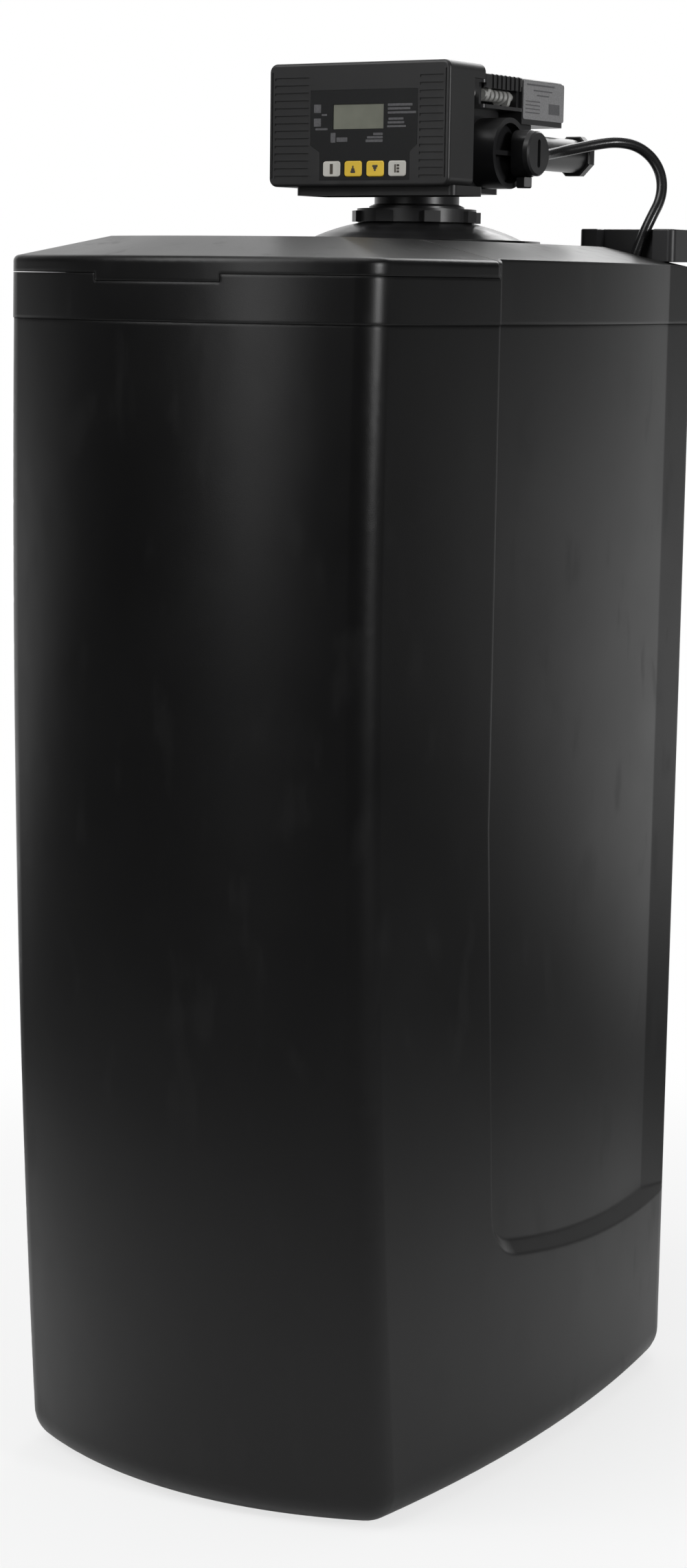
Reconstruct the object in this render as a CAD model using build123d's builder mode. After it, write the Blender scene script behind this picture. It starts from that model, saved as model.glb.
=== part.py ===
from build123d import *
from math import asin, atan2, cos, degrees, pi, radians, sin, sqrt, tan
import os

# A cabinet water softener: a bowed salt cabinet with a hinged salt lid, a resin vessel
# standing in it, and a control valve with its electronic head on top of the vessel.
# Millimetres, +Z up, front towards -Y. The origin is on the floor, below the middle
# of the whole softener's box. Places written "behind" are depths behind the front bow.

os.makedirs("parts", exist_ok=True)

# Cabinet form
lid_edge_height = 1000.0
cabinet_width = 402.0
cabinet_depth = 583.0
side_radius = 1448.0
widest_behind = 329.0
front_radius = 368.0
front_corner_radius = 30.0
rear_corner_radius = 45.0
foot_setback = 28.0
front_belly = 13.6
foot_radius = 30.0
cabinet_wall = 4.0
form_heights = (333.0, 667.0)

# Side recess: a shallow panel let into each side, above a falling ledge
recess_depth = 9.0
recess_inboard = 21.0
recess_slope = 1.2
recess_reach = 60.0
recess_seam_behind = 209.0
recess_knee_height = 560.0
recess_seam_drift = 20.0
ledge_height = 214.0
ledge_fall = 0.135
recess_corner_radius = 25.0

# Top cover, crown and salt lid
band_bottom = 957.5
band_proud = 0.6
cover_wall = 3.0
crown_foot_height = 1006.0
crown_height = 1023.0
crown_inset = 72.0
rim_radius = 5.0
lid_seam_height = 993.3
lid_seam_gap = 0.5
hinge_behind = 183.4
hinge_barrel_radius = 5.0
hinge_barrel_length = 208.0
hinge_pin_radius = 1.5
hinge_running_clearance = 0.05
hinge_gap = 0.3
hinge_deck_gap = 1.0
hinge_lug_width = 14.0
hinge_lug_offset = 88.0
hinge_lug_gap = 0.5
lid_rib_offset = 64.0
lid_rib_height = 8.0
finger_lip_width = 116.0
finger_lip_drop = 5.5
flange_width = 14.0
flange_thickness = 4.0
lip_gap = 0.3
lip_wall = 3.0
lip_height = 27.0
lip_root = 12.0

# Resin vessel and what is in it
vessel_behind = 385.4
vessel_radius = 128.5
vessel_wall = 4.0
vessel_dome = 64.0
vessel_bottom = 12.0
vessel_crown_height = 1045.0
vessel_neck_radius = 42.0
vessel_neck_bore = 32.0
vessel_neck_top = 1050.0
vessel_opening_gap = 1.0
collar_width = 4.0
collar_rise = 2.5
boot_wall = 5.0
boot_height = 90.0
boot_seat_angle = 55.0
riser_radius = 13.35
riser_wall = 2.0
riser_foot = 40.0
riser_top = 1062.0
basket_radius = 24.0
basket_length = 62.0
basket_slot = 3.0
upper_basket_radius = 28.0
upper_basket_foot_radius = 21.0
upper_basket_length = 46.0
spigot_foot = 1020.0
bed_top = 640.0
fit_gap = 0.3

# Brine well, float and brine cap
well_offset_x = 127.0
well_behind = 538.4
well_radius = 38.0
well_wall = 2.0
well_head_gap = 4.0
landing_height = 1011.0
landing_thickness = 3.0
cap_left = 85.0
cap_right = 178.0
cap_behind = 523.4
cap_length = 57.0
cap_top = 1039.0
cap_wall = 2.5
cap_corner_radius = 6.0
cap_notch_left = 103.0
cap_notch_right = 158.0
cap_notch_depth = 14.0
landing_margin = 3.0
well_opening_radius = 22.0
well_opening_behind = 550.0
tube_hole_offset_x = 136.5
tube_hole_behind = 529.4
tube_hole_radius = 8.0
float_radius = 26.0
float_height = 60.0
float_bottom = 640.0
float_travel = 20.0
float_rod_radius = 2.5
float_rod_offset = 18.0
safety_valve_bottom = 885.0
pickup_radius = 6.35
pickup_foot = 46.0
air_check_radius = 14.0
air_check_neck_radius = 9.0
air_check_shoulder = 30.0

# Salt grid and overflow
grid_height = 110.0
grid_thickness = 5.0
grid_margin = 3.0
grid_leg_radius = 9.0
grid_leg_offset = 140.0
grid_leg_front = 125.0
grid_leg_rear = 230.0
grid_slot_length = 30.0
grid_slot_width = 5.0
grid_slot_pitch = 44.0
grid_slot_front = 70.0
grid_row_pitch = 18.0
overflow_offset_x = -120.0
overflow_height = 640.0
overflow_reach = 28.0
overflow_barrel_radius = 10.5
overflow_spigot_radius = 8.0
overflow_bore_radius = 5.5
overflow_body_half = 10.5
overflow_drop = 44.0
overflow_flange_radius = 16.0
overflow_flange_thickness = 3.0
overflow_thread_length = 14.0
overflow_nut_thickness = 8.0

# Valve, measured forwards (negative) and backwards (positive) from the vessel's axis
ring_radius = 55.4
ring_lugs = 8
ring_seat_gap = 1.0
valve_neck_radius = 36.5
valve_bottom = 1066.0
valve_top = 1137.0
valve_half_width = 46.0
valve_front = -36.0
valve_back = 64.0
valve_corner_radius = 8.0
port_offset = 64.0
port_height = 1103.0
port_radius = 15.0
port_end = 102.0
port_bore_radius = 9.5
port_bore_end = 68.0
adaptor_radius = 14.6
adaptor_end = 161.0
tail_radius = 12.0
nut_sides = 8
nut_across_flats = 34.5
nut_end = 172.0
nut_recess = 4.0
nut_chamfer = 1.2
drum_radius = 30.0
drum_face = 72.0
drum_root = 30.0
drum_rim = 4.5
drum_recess = 9.0
drum_centre = 34.0
drum_height = 1100.0
boss_face = 88.0
boss_centre = 45.0
boss_width = 20.0
boss_length = 40.0
drain_plug_radius = 7.5
drain_plug_length = 9.0
filter_cap_radius = 19.0
filter_cap_thickness = 6.0
brine_fitting_radius = 5.3
brine_nut_radius = 6.7
brine_nut_length = 4.5
drain_offset = 10.0
drain_height = 1092.0
drain_hex_radius = 11.0
drain_hex_length = 9.0
drain_spigot_radius = 6.5
drain_spigot_length = 22.0
drain_bore_radius = 4.5

# Camshaft, flappers and drive
cam_axis_x = 50.0
cam_axis_height = 1149.0
cam_shaft_radius = 3.5
cam_lobe_radius = 8.5
cam_base_radius = 5.5
cam_thickness = 4.5
cam_pitch = 7.6
cam_count = 7
cam_first = 13.0
cam_turn = 47.0
cam_nose_radius = 3.0
shaft_clearance = 0.06
flapper_axis_x = 36.0
flapper_axis_height = 1146.0
flapper_hub_radius = 3.0
flapper_rod_radius = 1.25
flapper_tail_reach = 11.5
valve_pin_height = 1.2
plate_left = -34.0
plate_right = 62.0
plate_front = 4.0
plate_back = 73.0
plate_thickness = 3.0
upper_plate_bottom = 1158.0
upper_plate_top = 1166.0
cover_lip_bottom = 1154.0
screw_head_radius = 3.5
screw_head_height = 2.4
bearing_thickness = 4.0
gear_module = 0.8
gear_teeth = 32
pinion_teeth = 12
gear_width = 6.0
gear_front = -68.5
motor_length = 16.0
motor_size = 24.0
motor_gap = 1.5
motor_shaft_radius = 1.5
motor_shaft_depth = 6.0

# Rear box with its bare label face
box_left = -46.0
box_right = 60.0
box_front = 74.0
box_back = 151.0
box_bottom = 1127.0
box_top = 1166.0
box_wall = 2.5

# Control head
head_half_width = 88.5
head_front = -98.0
head_back = -58.0
hood_back = -40.0
head_bottom = 1068.0
head_top = 1169.5
hood_bottom = 1157.0
skirt_bottom = 1061.0
skirt_left = -67.0
head_wall = 3.0
head_corner_radius = 7.0
bezel_thickness = 3.0
bezel_depth = 9.0
bezel_edge_radius = 2.6
bezel_groove_width = 1.2
bezel_groove_depth = 0.8
bezel_groove_inset = 3.7
bezel_groove_margin = 7.0
rib_pitch = 6.2
rib_count = 14
rib_width = 2.2
rib_depth = 0.8
rib_first_height = 1076.0
rib_margin = 6.0
rib_panel_gap = 2.0
panel_thickness = 0.6
panel_left = -46.5
panel_right = 58.0
panel_step_left = -37.0
panel_step_right = 51.0
panel_bottom = 1073.0
panel_step_height = 1102.0
panel_step_slant = 6.0
panel_top = 1147.0
display_left = -24.0
display_right = 25.0
display_bottom = 1115.0
display_top = 1135.0
display_gap = 0.3
key_centres = (-25.0, -3.7, 17.9, 39.2)
key_width = 17.2
key_height = 12.8
key_middle_height = 1082.4
key_gap = 0.4
key_corner_radius = 2.5
key_proud = 0.4
key_flange = 1.4
key_flange_thickness = 1.2
key_travel = 1.0
board_thickness = 1.6
board_front_gap = 4.0

# Brine tube: its route is a list of chosen points, from the elbow on the valve over the
# rear of the top cover and down the brine well to the safety valve
tube_radius = 4.75
tube_route = [
    (86.0, 150.5, 1100.0),
    (87.0, 170.0, 1102.8),
    (98.1, 192.6, 1107.8),
    (107.5, 208.2, 1111.6),
    (118.0, 223.8, 1114.2),
    (131.3, 236.5, 1111.6),
    (143.6, 244.9, 1100.8),
    (151.8, 247.2, 1084.1),
    (154.0, 241.9, 1065.6),
    (149.9, 231.9, 1048.8),
    (145.0, 225.3, 1032.3),
    (138.7, 223.8, 1014.6),
    (132.5, 226.6, 996.8),
    (128.6, 231.5, 979.0),
    (127.0, 234.5, 960.0),
    (127.0, 234.5, 942.0),
]

# Places worked out from the sizes above
belly_share = (1 + foot_setback / (4 * front_belly)) / 2
belly_reach = (1 - belly_share) * (4 * front_belly * belly_share - foot_setback)
front_y = (belly_reach - cabinet_depth - overflow_reach) / 2
back_y = front_y + cabinet_depth
side_centre = (cabinet_width / 2 - side_radius, front_y + widest_behind)
hinge_y = front_y + hinge_behind
hinge_z = crown_height - hinge_barrel_radius
deck_front = hinge_y + hinge_barrel_radius + hinge_deck_gap
tank_y = front_y + vessel_behind
well_y = front_y + well_behind
recess_plane_x = cabinet_width / 2 - recess_inboard
tube_points = [Vector(*point) for point in tube_route]
tube_radii = []
for before, corner, after in zip(tube_points, tube_points[1:], tube_points[2:]):
    turn = (corner - before).get_angle(after - corner)
    shorter = min((corner - before).length, (after - corner).length)
    tube_radii.append(0.45 * shorter / tan(radians(turn / 2)))
print("brine tube radii", [round(radius, 1) for radius in tube_radii])


def front_setback(height):
    """Depth of the front's profile behind the lid edge, from its foot setback and its belly."""
    share = height / lid_edge_height
    return foot_setback * (1 - share) - 4 * front_belly * share * (1 - share)


def front_corner(inset, setback):
    """Sharp corner where the front bow meets the right side's arc, both set in."""
    front_centre_y = front_y + setback + front_radius
    bow = front_radius - inset
    side = side_radius - inset
    dx = side_centre[0]
    dy = side_centre[1] - front_centre_y
    span = sqrt(dx * dx + dy * dy)
    along = (bow * bow - side * side + span * span) / (2 * span)
    off = sqrt(bow * bow - along * along)
    foot_x = along * dx / span
    foot_y = front_centre_y + along * dy / span
    crossings = [
        (foot_x - off * dy / span, foot_y + off * dx / span),
        (foot_x + off * dy / span, foot_y - off * dx / span),
    ]
    return min((point for point in crossings if point[0] > 0), key=lambda point: point[1])


def outline_sketch(height, inset=0.0, setback=0.0):
    """Plan of the cabinet: a bowed front, slightly bowed sides and a flat back."""
    rear = back_y - inset
    corner_x, corner_y = front_corner(inset, setback)
    side_x = side_centre[0] + side_radius - inset
    rear_x = side_centre[0] + sqrt((side_radius - inset) ** 2 - (rear - side_centre[1]) ** 2)
    apex = front_y + setback + inset
    with BuildSketch(Plane.XY.offset(height)) as sketch:
        with BuildLine():
            ThreePointArc((-corner_x, corner_y), (0, apex), (corner_x, corner_y))
            ThreePointArc((corner_x, corner_y), (side_x, side_centre[1]), (rear_x, rear))
            Line((rear_x, rear), (-rear_x, rear))
            ThreePointArc((-rear_x, rear), (-side_x, side_centre[1]), (-corner_x, corner_y))
        make_face()
        fillet(sketch.vertices().group_by(Axis.Y)[0], max(front_corner_radius - inset, 3))
        fillet(sketch.vertices().group_by(Axis.Y)[-1], max(rear_corner_radius - inset, 3))
    return sketch.sketch


def recess_sketch(x, grow):
    """Side view of the recess: a raked seam in front, a rounded corner and a falling ledge."""
    seam_y = front_y + recess_seam_behind
    corner_y = seam_y + recess_seam_drift
    rear = back_y + 80
    top = crown_height + 80
    with BuildSketch(Plane.YZ.offset(x)) as sketch:
        with BuildLine():
            Polyline(
                (seam_y, top),
                (seam_y, recess_knee_height),
                (corner_y, ledge_height),
                (rear, ledge_height - ledge_fall * (rear - corner_y)),
                (rear, top),
                close=True,
            )
        make_face()
        fillet(sketch.vertices().group_by(Axis.Y)[1], recess_corner_radius)
        if grow > 0:
            offset(amount=grow, kind=Kind.INTERSECTION)
    return sketch.sketch


def recess_pockets(inset):
    """What the two side recesses take from a form that is set in by inset."""
    near = recess_sketch(recess_plane_x - inset, inset)
    far = recess_sketch(recess_plane_x + recess_reach, inset + recess_reach * recess_slope)
    floor = outline_sketch(-100, inset + recess_depth)
    with BuildPart() as pockets:
        loft([near, far], ruled=True)
        extrude(floor, amount=lid_edge_height + 400, mode=Mode.SUBTRACT)
        mirror(about=Plane.YZ)
    return pockets.part


def cabinet_form(heights, inset, foot=0.0):
    """Solid of the cabinet through the given heights, set in from the skin, recesses cut."""
    sections = [outline_sketch(height, inset, front_setback(height)) for height in heights]
    pockets = recess_pockets(inset)
    with BuildPart() as form:
        loft(sections)
        if foot > 0:
            fillet(form.faces().sort_by(Axis.Z)[0].edges(), foot)
        add(pockets, mode=Mode.SUBTRACT)
    return form.part


def crown_form(inset, drop, rim):
    """Solid of the top, from the band's lower edge up to the hipped crown."""
    foot = crown_foot_height - drop
    sections = [
        outline_sketch(band_bottom, inset, front_setback(band_bottom)),
        outline_sketch(foot, inset),
        outline_sketch(crown_height - drop, inset + crown_inset),
    ]
    pockets = recess_pockets(inset)
    with BuildPart() as form:
        loft(sections, ruled=True)
        fillet(form.edges().filter_by_position(Axis.Z, foot - 0.5, foot + 0.5), rim)
        add(pockets, mode=Mode.SUBTRACT)
    return form.part


def facing_front(y):
    """Plane at a depth, seen from the front: local x is X and local y is height."""
    return Plane(origin=(0, y, 0), x_dir=(1, 0, 0), z_dir=(0, -1, 0))


def block_between(low, high):
    """Rectangular solid between two corners, kept apart from any part being built."""
    size = [high[axis] - low[axis] for axis in range(3)]
    middle = [(high[axis] + low[axis]) / 2 for axis in range(3)]
    return Pos(*middle) * Box(*size, mode=Mode.PRIVATE)


def turned_sketch(x, y, points):
    """Half section of a turned piece, its points given as radius and height."""
    plane = Plane(origin=(x, y, 0), x_dir=(1, 0, 0), z_dir=(0, -1, 0))
    with BuildSketch(plane) as sketch:
        with BuildLine():
            Polyline(*points, close=True)
        make_face()
    return sketch.sketch


def dome_height(radius):
    """Height of the vessel's outside at a distance from its axis, on the upper dome."""
    share = sqrt(1 - (radius / vessel_radius) ** 2)
    return vessel_crown_height - vessel_dome * (1 - share)


def dome_radius(height):
    """Distance of the vessel's outside from its axis at a height on the upper dome."""
    share = 1 - (vessel_crown_height - height) / vessel_dome
    return vessel_radius * sqrt(1 - share * share)


# Forms shared by the cabinet, the cover and the lid
outer_cabinet = cabinet_form((0.0, *form_heights, lid_edge_height), 0.0, foot_radius)
inner_cabinet = cabinet_form(
    (cabinet_wall, *form_heights, lid_edge_height), cabinet_wall, foot_radius - cabinet_wall
)
outer_crown = crown_form(-band_proud, 0.0, rim_radius)
inner_crown = crown_form(cover_wall - band_proud, cover_wall, rim_radius - cover_wall)

# Cabinet shell: moulded tub with a stepped-in lip that the top cover slides over
lip_inset = cover_wall - band_proud + lip_gap
lip_outer = cabinet_form((band_bottom, band_bottom + lip_height), lip_inset)
lip_bridge = cabinet_form((band_bottom - lip_root, band_bottom), cabinet_wall - 1)
lip_inner = cabinet_form(
    (band_bottom - lip_root, band_bottom + lip_height), lip_inset + lip_wall
)
with BuildPart() as cabinet_shell:
    add(outer_cabinet)
    split(bisect_by=Plane.XY.offset(band_bottom), keep=Keep.BOTTOM)
    add(inner_cabinet, mode=Mode.SUBTRACT)
    add(lip_outer)
    add(lip_bridge)
    add(lip_inner, mode=Mode.SUBTRACT)
    with BuildSketch(facing_front(back_y + 5)):
        with Locations((overflow_offset_x, overflow_height)):
            Circle(overflow_barrel_radius + fit_gap)
    extrude(amount=cabinet_wall + 10, mode=Mode.SUBTRACT)
cabinet_shell.part.label = "cabinet_shell"
export_step(cabinet_shell.part, "parts/cabinet_shell.step")

# Overflow elbow: a threaded barrel, a square body and its hose spigot, with a nut inside
spigot_y = back_y + overflow_reach - overflow_body_half
spigot_foot_height = overflow_height - overflow_drop
spigot_length = overflow_drop - overflow_body_half
with BuildPart() as overflow_elbow:
    with BuildSketch(facing_front(back_y)):
        with Locations((overflow_offset_x, overflow_height)):
            Circle(overflow_barrel_radius)
    extrude(amount=cabinet_wall + overflow_thread_length)
    with BuildSketch(facing_front(back_y + overflow_flange_thickness)):
        with Locations((overflow_offset_x, overflow_height)):
            Circle(overflow_flange_radius)
    extrude(amount=overflow_flange_thickness)
    with BuildSketch(facing_front(spigot_y + overflow_body_half)):
        with Locations((overflow_offset_x, overflow_height)):
            Rectangle(2 * overflow_body_half, 2 * overflow_body_half)
    extrude(amount=overflow_reach - overflow_flange_thickness)
    with BuildSketch(Plane.XY.offset(spigot_foot_height)):
        with Locations((overflow_offset_x, spigot_y)):
            Circle(overflow_spigot_radius)
    extrude(amount=spigot_length)
    with BuildSketch(Plane.XY.offset(spigot_foot_height)):
        with Locations((overflow_offset_x, spigot_y)):
            Circle(overflow_bore_radius)
    extrude(amount=overflow_drop, mode=Mode.SUBTRACT)
    with BuildSketch(facing_front(spigot_y)):
        with Locations((overflow_offset_x, overflow_height)):
            Circle(overflow_bore_radius)
    extrude(amount=overflow_reach + 20, mode=Mode.SUBTRACT)
overflow_elbow.part.label = "overflow_elbow"
export_step(overflow_elbow.part, "parts/overflow_elbow.step")

with BuildPart() as overflow_nut:
    with BuildSketch(facing_front(back_y - cabinet_wall)):
        with Locations((overflow_offset_x, overflow_height)):
            RegularPolygon(overflow_flange_radius, 6)
            Circle(overflow_barrel_radius + shaft_clearance, mode=Mode.SUBTRACT)
    extrude(amount=overflow_nut_thickness)
overflow_nut.part.label = "overflow_nut"
export_step(overflow_nut.part, "parts/overflow_nut.step")

# Top cover: band, rear crown with the vessel's collar, and the flange under the lid
seam_cut = block_between(
    (-cabinet_width, front_y - 20, lid_seam_height), (cabinet_width, deck_front, 1100)
)
bulkhead_block = block_between(
    (-cabinet_width, deck_front, lid_seam_height - flange_thickness),
    (cabinet_width, deck_front + cover_wall, 1100),
)
flange_outer = cabinet_form(
    (lid_seam_height - flange_thickness, lid_seam_height), cover_wall - band_proud - 1
)
flange_inner = cabinet_form(
    (lid_seam_height - flange_thickness - 1, lid_seam_height + 1),
    cover_wall - band_proud + flange_width,
)
flange_keep = block_between(
    (-cabinet_width, front_y - 20, 900), (cabinet_width, deck_front + 1, 1100)
)
lip_notch = block_between(
    (
        -finger_lip_width / 2 - lid_seam_gap,
        front_y - 20,
        lid_seam_height - finger_lip_drop - lid_seam_gap,
    ),
    (finger_lip_width / 2 + lid_seam_gap, front_y + 40, 1100),
)
lip_notch_floor = cabinet_form((900, 1100), cover_wall - band_proud + lid_seam_gap)
cap_front = front_y + cap_behind
cap_back = cap_front + cap_length
landing_block = block_between(
    (
        cap_left - landing_margin - cover_wall,
        cap_front - landing_margin - cover_wall,
        landing_height - landing_thickness,
    ),
    (cabinet_width / 2 - 20, back_y, 1100),
)
landing_cut = block_between(
    (cap_left - landing_margin, cap_front - landing_margin, landing_height),
    (cabinet_width / 2, back_y + 10, 1100),
)
opening_radius = dome_radius(crown_height - cover_wall) + vessel_opening_gap
tube_hole = (tube_hole_offset_x, front_y + tube_hole_behind)

with BuildPart() as flange_ring:
    add(flange_outer)
    add(flange_inner, mode=Mode.SUBTRACT)
    add(flange_keep, mode=Mode.INTERSECT)
with BuildPart() as notch_cut:
    add(lip_notch)
    add(lip_notch_floor, mode=Mode.SUBTRACT)
with BuildPart() as bulkhead:
    add(outer_crown)
    add(bulkhead_block, mode=Mode.INTERSECT)
with BuildPart() as landing:
    add(outer_crown)
    add(landing_block, mode=Mode.INTERSECT)

with BuildPart() as top_cover:
    add(outer_crown)
    add(inner_crown, mode=Mode.SUBTRACT)
    add(seam_cut, mode=Mode.SUBTRACT)
    add(flange_ring.part)
    add(bulkhead.part)
    add(landing.part)
    add(landing_cut, mode=Mode.SUBTRACT)
    add(notch_cut.part, mode=Mode.SUBTRACT)
    with BuildSketch(Plane.XY.offset(crown_height - cover_wall)):
        with Locations((0, tank_y)):
            Circle(opening_radius + collar_width)
    extrude(amount=cover_wall + collar_rise)
    with BuildSketch(Plane.XY.offset(crown_height - 40)):
        with Locations((0, tank_y)):
            Circle(opening_radius)
    extrude(amount=80, mode=Mode.SUBTRACT)
    with BuildSketch(Plane.XY.offset(landing_height - 20)):
        with Locations((well_offset_x, front_y + well_opening_behind)):
            Circle(well_opening_radius)
        with Locations(tube_hole):
            Circle(tube_hole_radius)
    extrude(amount=40, mode=Mode.SUBTRACT)
    for lug_x in (-hinge_lug_offset, 0, hinge_lug_offset):
        with BuildSketch(Plane.YZ.offset(lug_x - hinge_lug_width / 2)):
            with Locations((hinge_y, hinge_z)):
                Circle(hinge_barrel_radius - hinge_gap)
            with Locations((hinge_y + hinge_barrel_radius / 2, hinge_z - 1)):
                Rectangle(hinge_barrel_radius + 4, 2 * hinge_barrel_radius - 4)
        extrude(amount=hinge_lug_width)
    with BuildSketch(Plane.YZ.offset(-hinge_barrel_length / 2)):
        with Locations((hinge_y, hinge_z)):
            Circle(hinge_pin_radius + 0.02)
    extrude(amount=hinge_barrel_length, mode=Mode.SUBTRACT)
top_cover.part.label = "top_cover"
export_step(top_cover.part, "parts/top_cover.step")

# Salt lid: hollow crown with a finger lip in front and hinge knuckles behind
lid_bottom = lid_seam_height + lid_seam_gap
with BuildPart() as lid_zone:
    with BuildSketch(Plane.YZ.offset(-cabinet_width)):
        with BuildLine():
            Polyline(
                (front_y - 20, lid_bottom),
                (front_y - 20, crown_height + 20),
                (hinge_y, crown_height + 20),
                (hinge_y, hinge_z),
                (hinge_y + hinge_barrel_radius, hinge_z),
                (hinge_y + hinge_barrel_radius, lid_bottom),
                close=True,
            )
        make_face()
        with Locations((hinge_y, hinge_z)):
            Circle(hinge_barrel_radius)
    extrude(amount=2 * cabinet_width)
    add(
        block_between(
            (-finger_lip_width / 2, front_y - 20, lid_seam_height - finger_lip_drop),
            (finger_lip_width / 2, front_y + 40, lid_bottom + 1),
        )
    )
with BuildPart() as salt_lid:
    add(outer_crown)
    add(inner_crown, mode=Mode.SUBTRACT)
    add(lid_zone.part, mode=Mode.INTERSECT)
    with BuildSketch(Plane.YZ.offset(-hinge_barrel_length / 2)):
        with Locations((hinge_y, hinge_z)):
            Circle(hinge_barrel_radius)
    extrude(amount=hinge_barrel_length)
    for rib_x in (-lid_rib_offset, lid_rib_offset):
        add(
            block_between(
                (rib_x - 1, front_y + 90, crown_height - cover_wall - lid_rib_height),
                (rib_x + 1, hinge_y, crown_height - 1),
            )
        )
    with BuildSketch(Plane.YZ.offset(-hinge_barrel_length / 2 - 1)):
        with Locations((hinge_y, hinge_z)):
            Circle(hinge_pin_radius + hinge_running_clearance)
    extrude(amount=hinge_barrel_length + 2, mode=Mode.SUBTRACT)
    for lug_x in (-hinge_lug_offset, 0, hinge_lug_offset):
        half = hinge_lug_width / 2 + hinge_lug_gap
        add(
            block_between(
                (lug_x - half, hinge_y - hinge_barrel_radius - hinge_gap, hinge_z - 10),
                (lug_x + half, hinge_y + 20, crown_height + 10),
            ),
            mode=Mode.SUBTRACT,
        )
salt_lid.part.label = "salt_lid"
export_step(salt_lid.part, "parts/salt_lid.step")

with BuildPart() as hinge_pin:
    with BuildSketch(Plane.YZ.offset(1 - hinge_barrel_length / 2)):
        with Locations((hinge_y, hinge_z)):
            Circle(hinge_pin_radius)
    extrude(amount=hinge_barrel_length - 2)
hinge_pin.part.label = "hinge_pin"
export_step(hinge_pin.part, "parts/hinge_pin.step")

# Brine-well cap: a hollow cap with a recessed front where the brine tube goes down
with BuildPart() as brine_well_cap:
    for shell in (0.0, cap_wall):
        with BuildSketch(Plane.XY.offset(landing_height)):
            with BuildLine():
                Polyline(
                    (cap_left + shell, cap_front + shell),
                    (cap_notch_left - shell, cap_front + shell),
                    (cap_notch_left - shell, cap_front + cap_notch_depth + shell),
                    (cap_notch_right + shell, cap_front + cap_notch_depth + shell),
                    (cap_notch_right + shell, cap_front + shell),
                    (cap_right - shell, cap_front + shell),
                    (cap_right - shell, cap_back - shell),
                    (cap_left + shell, cap_back - shell),
                    close=True,
                )
            make_face()
        extrude(
            amount=cap_top - landing_height - shell,
            mode=Mode.SUBTRACT if shell else Mode.ADD,
        )
        if not shell:
            outer_edges = brine_well_cap.edges().filter_by(Axis.Z)
            fillet(outer_edges.group_by(Axis.X)[0] + outer_edges.group_by(Axis.X)[-1], cap_corner_radius)
            fillet(brine_well_cap.faces().sort_by(Axis.Z)[-1].edges(), 1.5)
brine_well_cap.part.label = "brine_well_cap"
export_step(brine_well_cap.part, "parts/brine_well_cap.step")

# Brine well: a standpipe with inlet slots near its foot, relieved where the floor curves up
floor_form = cabinet_form(
    (cabinet_wall, *form_heights, lid_edge_height),
    cabinet_wall + fit_gap,
    foot_radius - cabinet_wall - fit_gap,
)
with BuildPart() as foot_relief:
    add(block_between((0, well_y - well_radius, 0), (cabinet_width / 2, back_y, 2 * foot_radius)))
    add(floor_form, mode=Mode.SUBTRACT)
with BuildPart() as brine_well:
    with BuildSketch(Plane.XY.offset(cabinet_wall)):
        with Locations((well_offset_x, well_y)):
            Circle(well_radius)
            Circle(well_radius - well_wall, mode=Mode.SUBTRACT)
    extrude(amount=landing_height - landing_thickness - well_head_gap - cabinet_wall)
    for slot in range(5):
        with BuildSketch(facing_front(well_y - well_radius - 5)):
            with Locations((well_offset_x, 30 + 16 * slot)):
                SlotOverall(30, 4)
        extrude(amount=-20, mode=Mode.SUBTRACT)
    add(foot_relief.part, mode=Mode.SUBTRACT)
brine_well.part.label = "brine_well"
export_step(brine_well.part, "parts/brine_well.step")

# Safety valve at the head of the pick-up tube, centred in the well by its collar
with BuildPart() as safety_valve:
    revolve(
        turned_sketch(
            well_offset_x,
            well_y,
            [
                (0, safety_valve_bottom),
                (26, safety_valve_bottom),
                (26, safety_valve_bottom + 24),
                (well_radius - well_wall - fit_gap, safety_valve_bottom + 24),
                (well_radius - well_wall - fit_gap, safety_valve_bottom + 28),
                (14, safety_valve_bottom + 28),
                (14, safety_valve_bottom + 57),
                (0, safety_valve_bottom + 57),
            ],
        ),
        axis=Axis((well_offset_x, well_y, 0), (0, 0, 1)),
    )
    with BuildSketch(Plane.XY.offset(safety_valve_bottom)):
        with Locations((well_offset_x + float_rod_offset, well_y)):
            Circle(float_rod_radius + 0.4)
    extrude(amount=float_travel + 14, mode=Mode.SUBTRACT)
    with BuildSketch(Plane.XY.offset(safety_valve_bottom + 24)):
        for turn in range(6):
            angle = radians(30 + 60 * turn)
            with Locations((well_offset_x + 30 * cos(angle), well_y + 30 * sin(angle))):
                Circle(3.5)
    extrude(amount=4, mode=Mode.SUBTRACT)
safety_valve.part.label = "safety_valve"
export_step(safety_valve.part, "parts/safety_valve.step")

with BuildPart() as pickup_tube:
    with BuildSketch(Plane.XY.offset(pickup_foot)):
        with Locations((well_offset_x, well_y)):
            Circle(pickup_radius)
            Circle(pickup_radius - 1.2, mode=Mode.SUBTRACT)
    extrude(amount=safety_valve_bottom - pickup_foot)
    with BuildSketch(Plane.XY.offset(float_bottom - 5)):
        with Locations((well_offset_x, well_y)):
            Circle(pickup_radius + 4)
            Circle(pickup_radius - 0.6, mode=Mode.SUBTRACT)
    extrude(amount=5 - fit_gap)
pickup_tube.part.label = "pickup_tube"
export_step(pickup_tube.part, "parts/pickup_tube.step")

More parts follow.
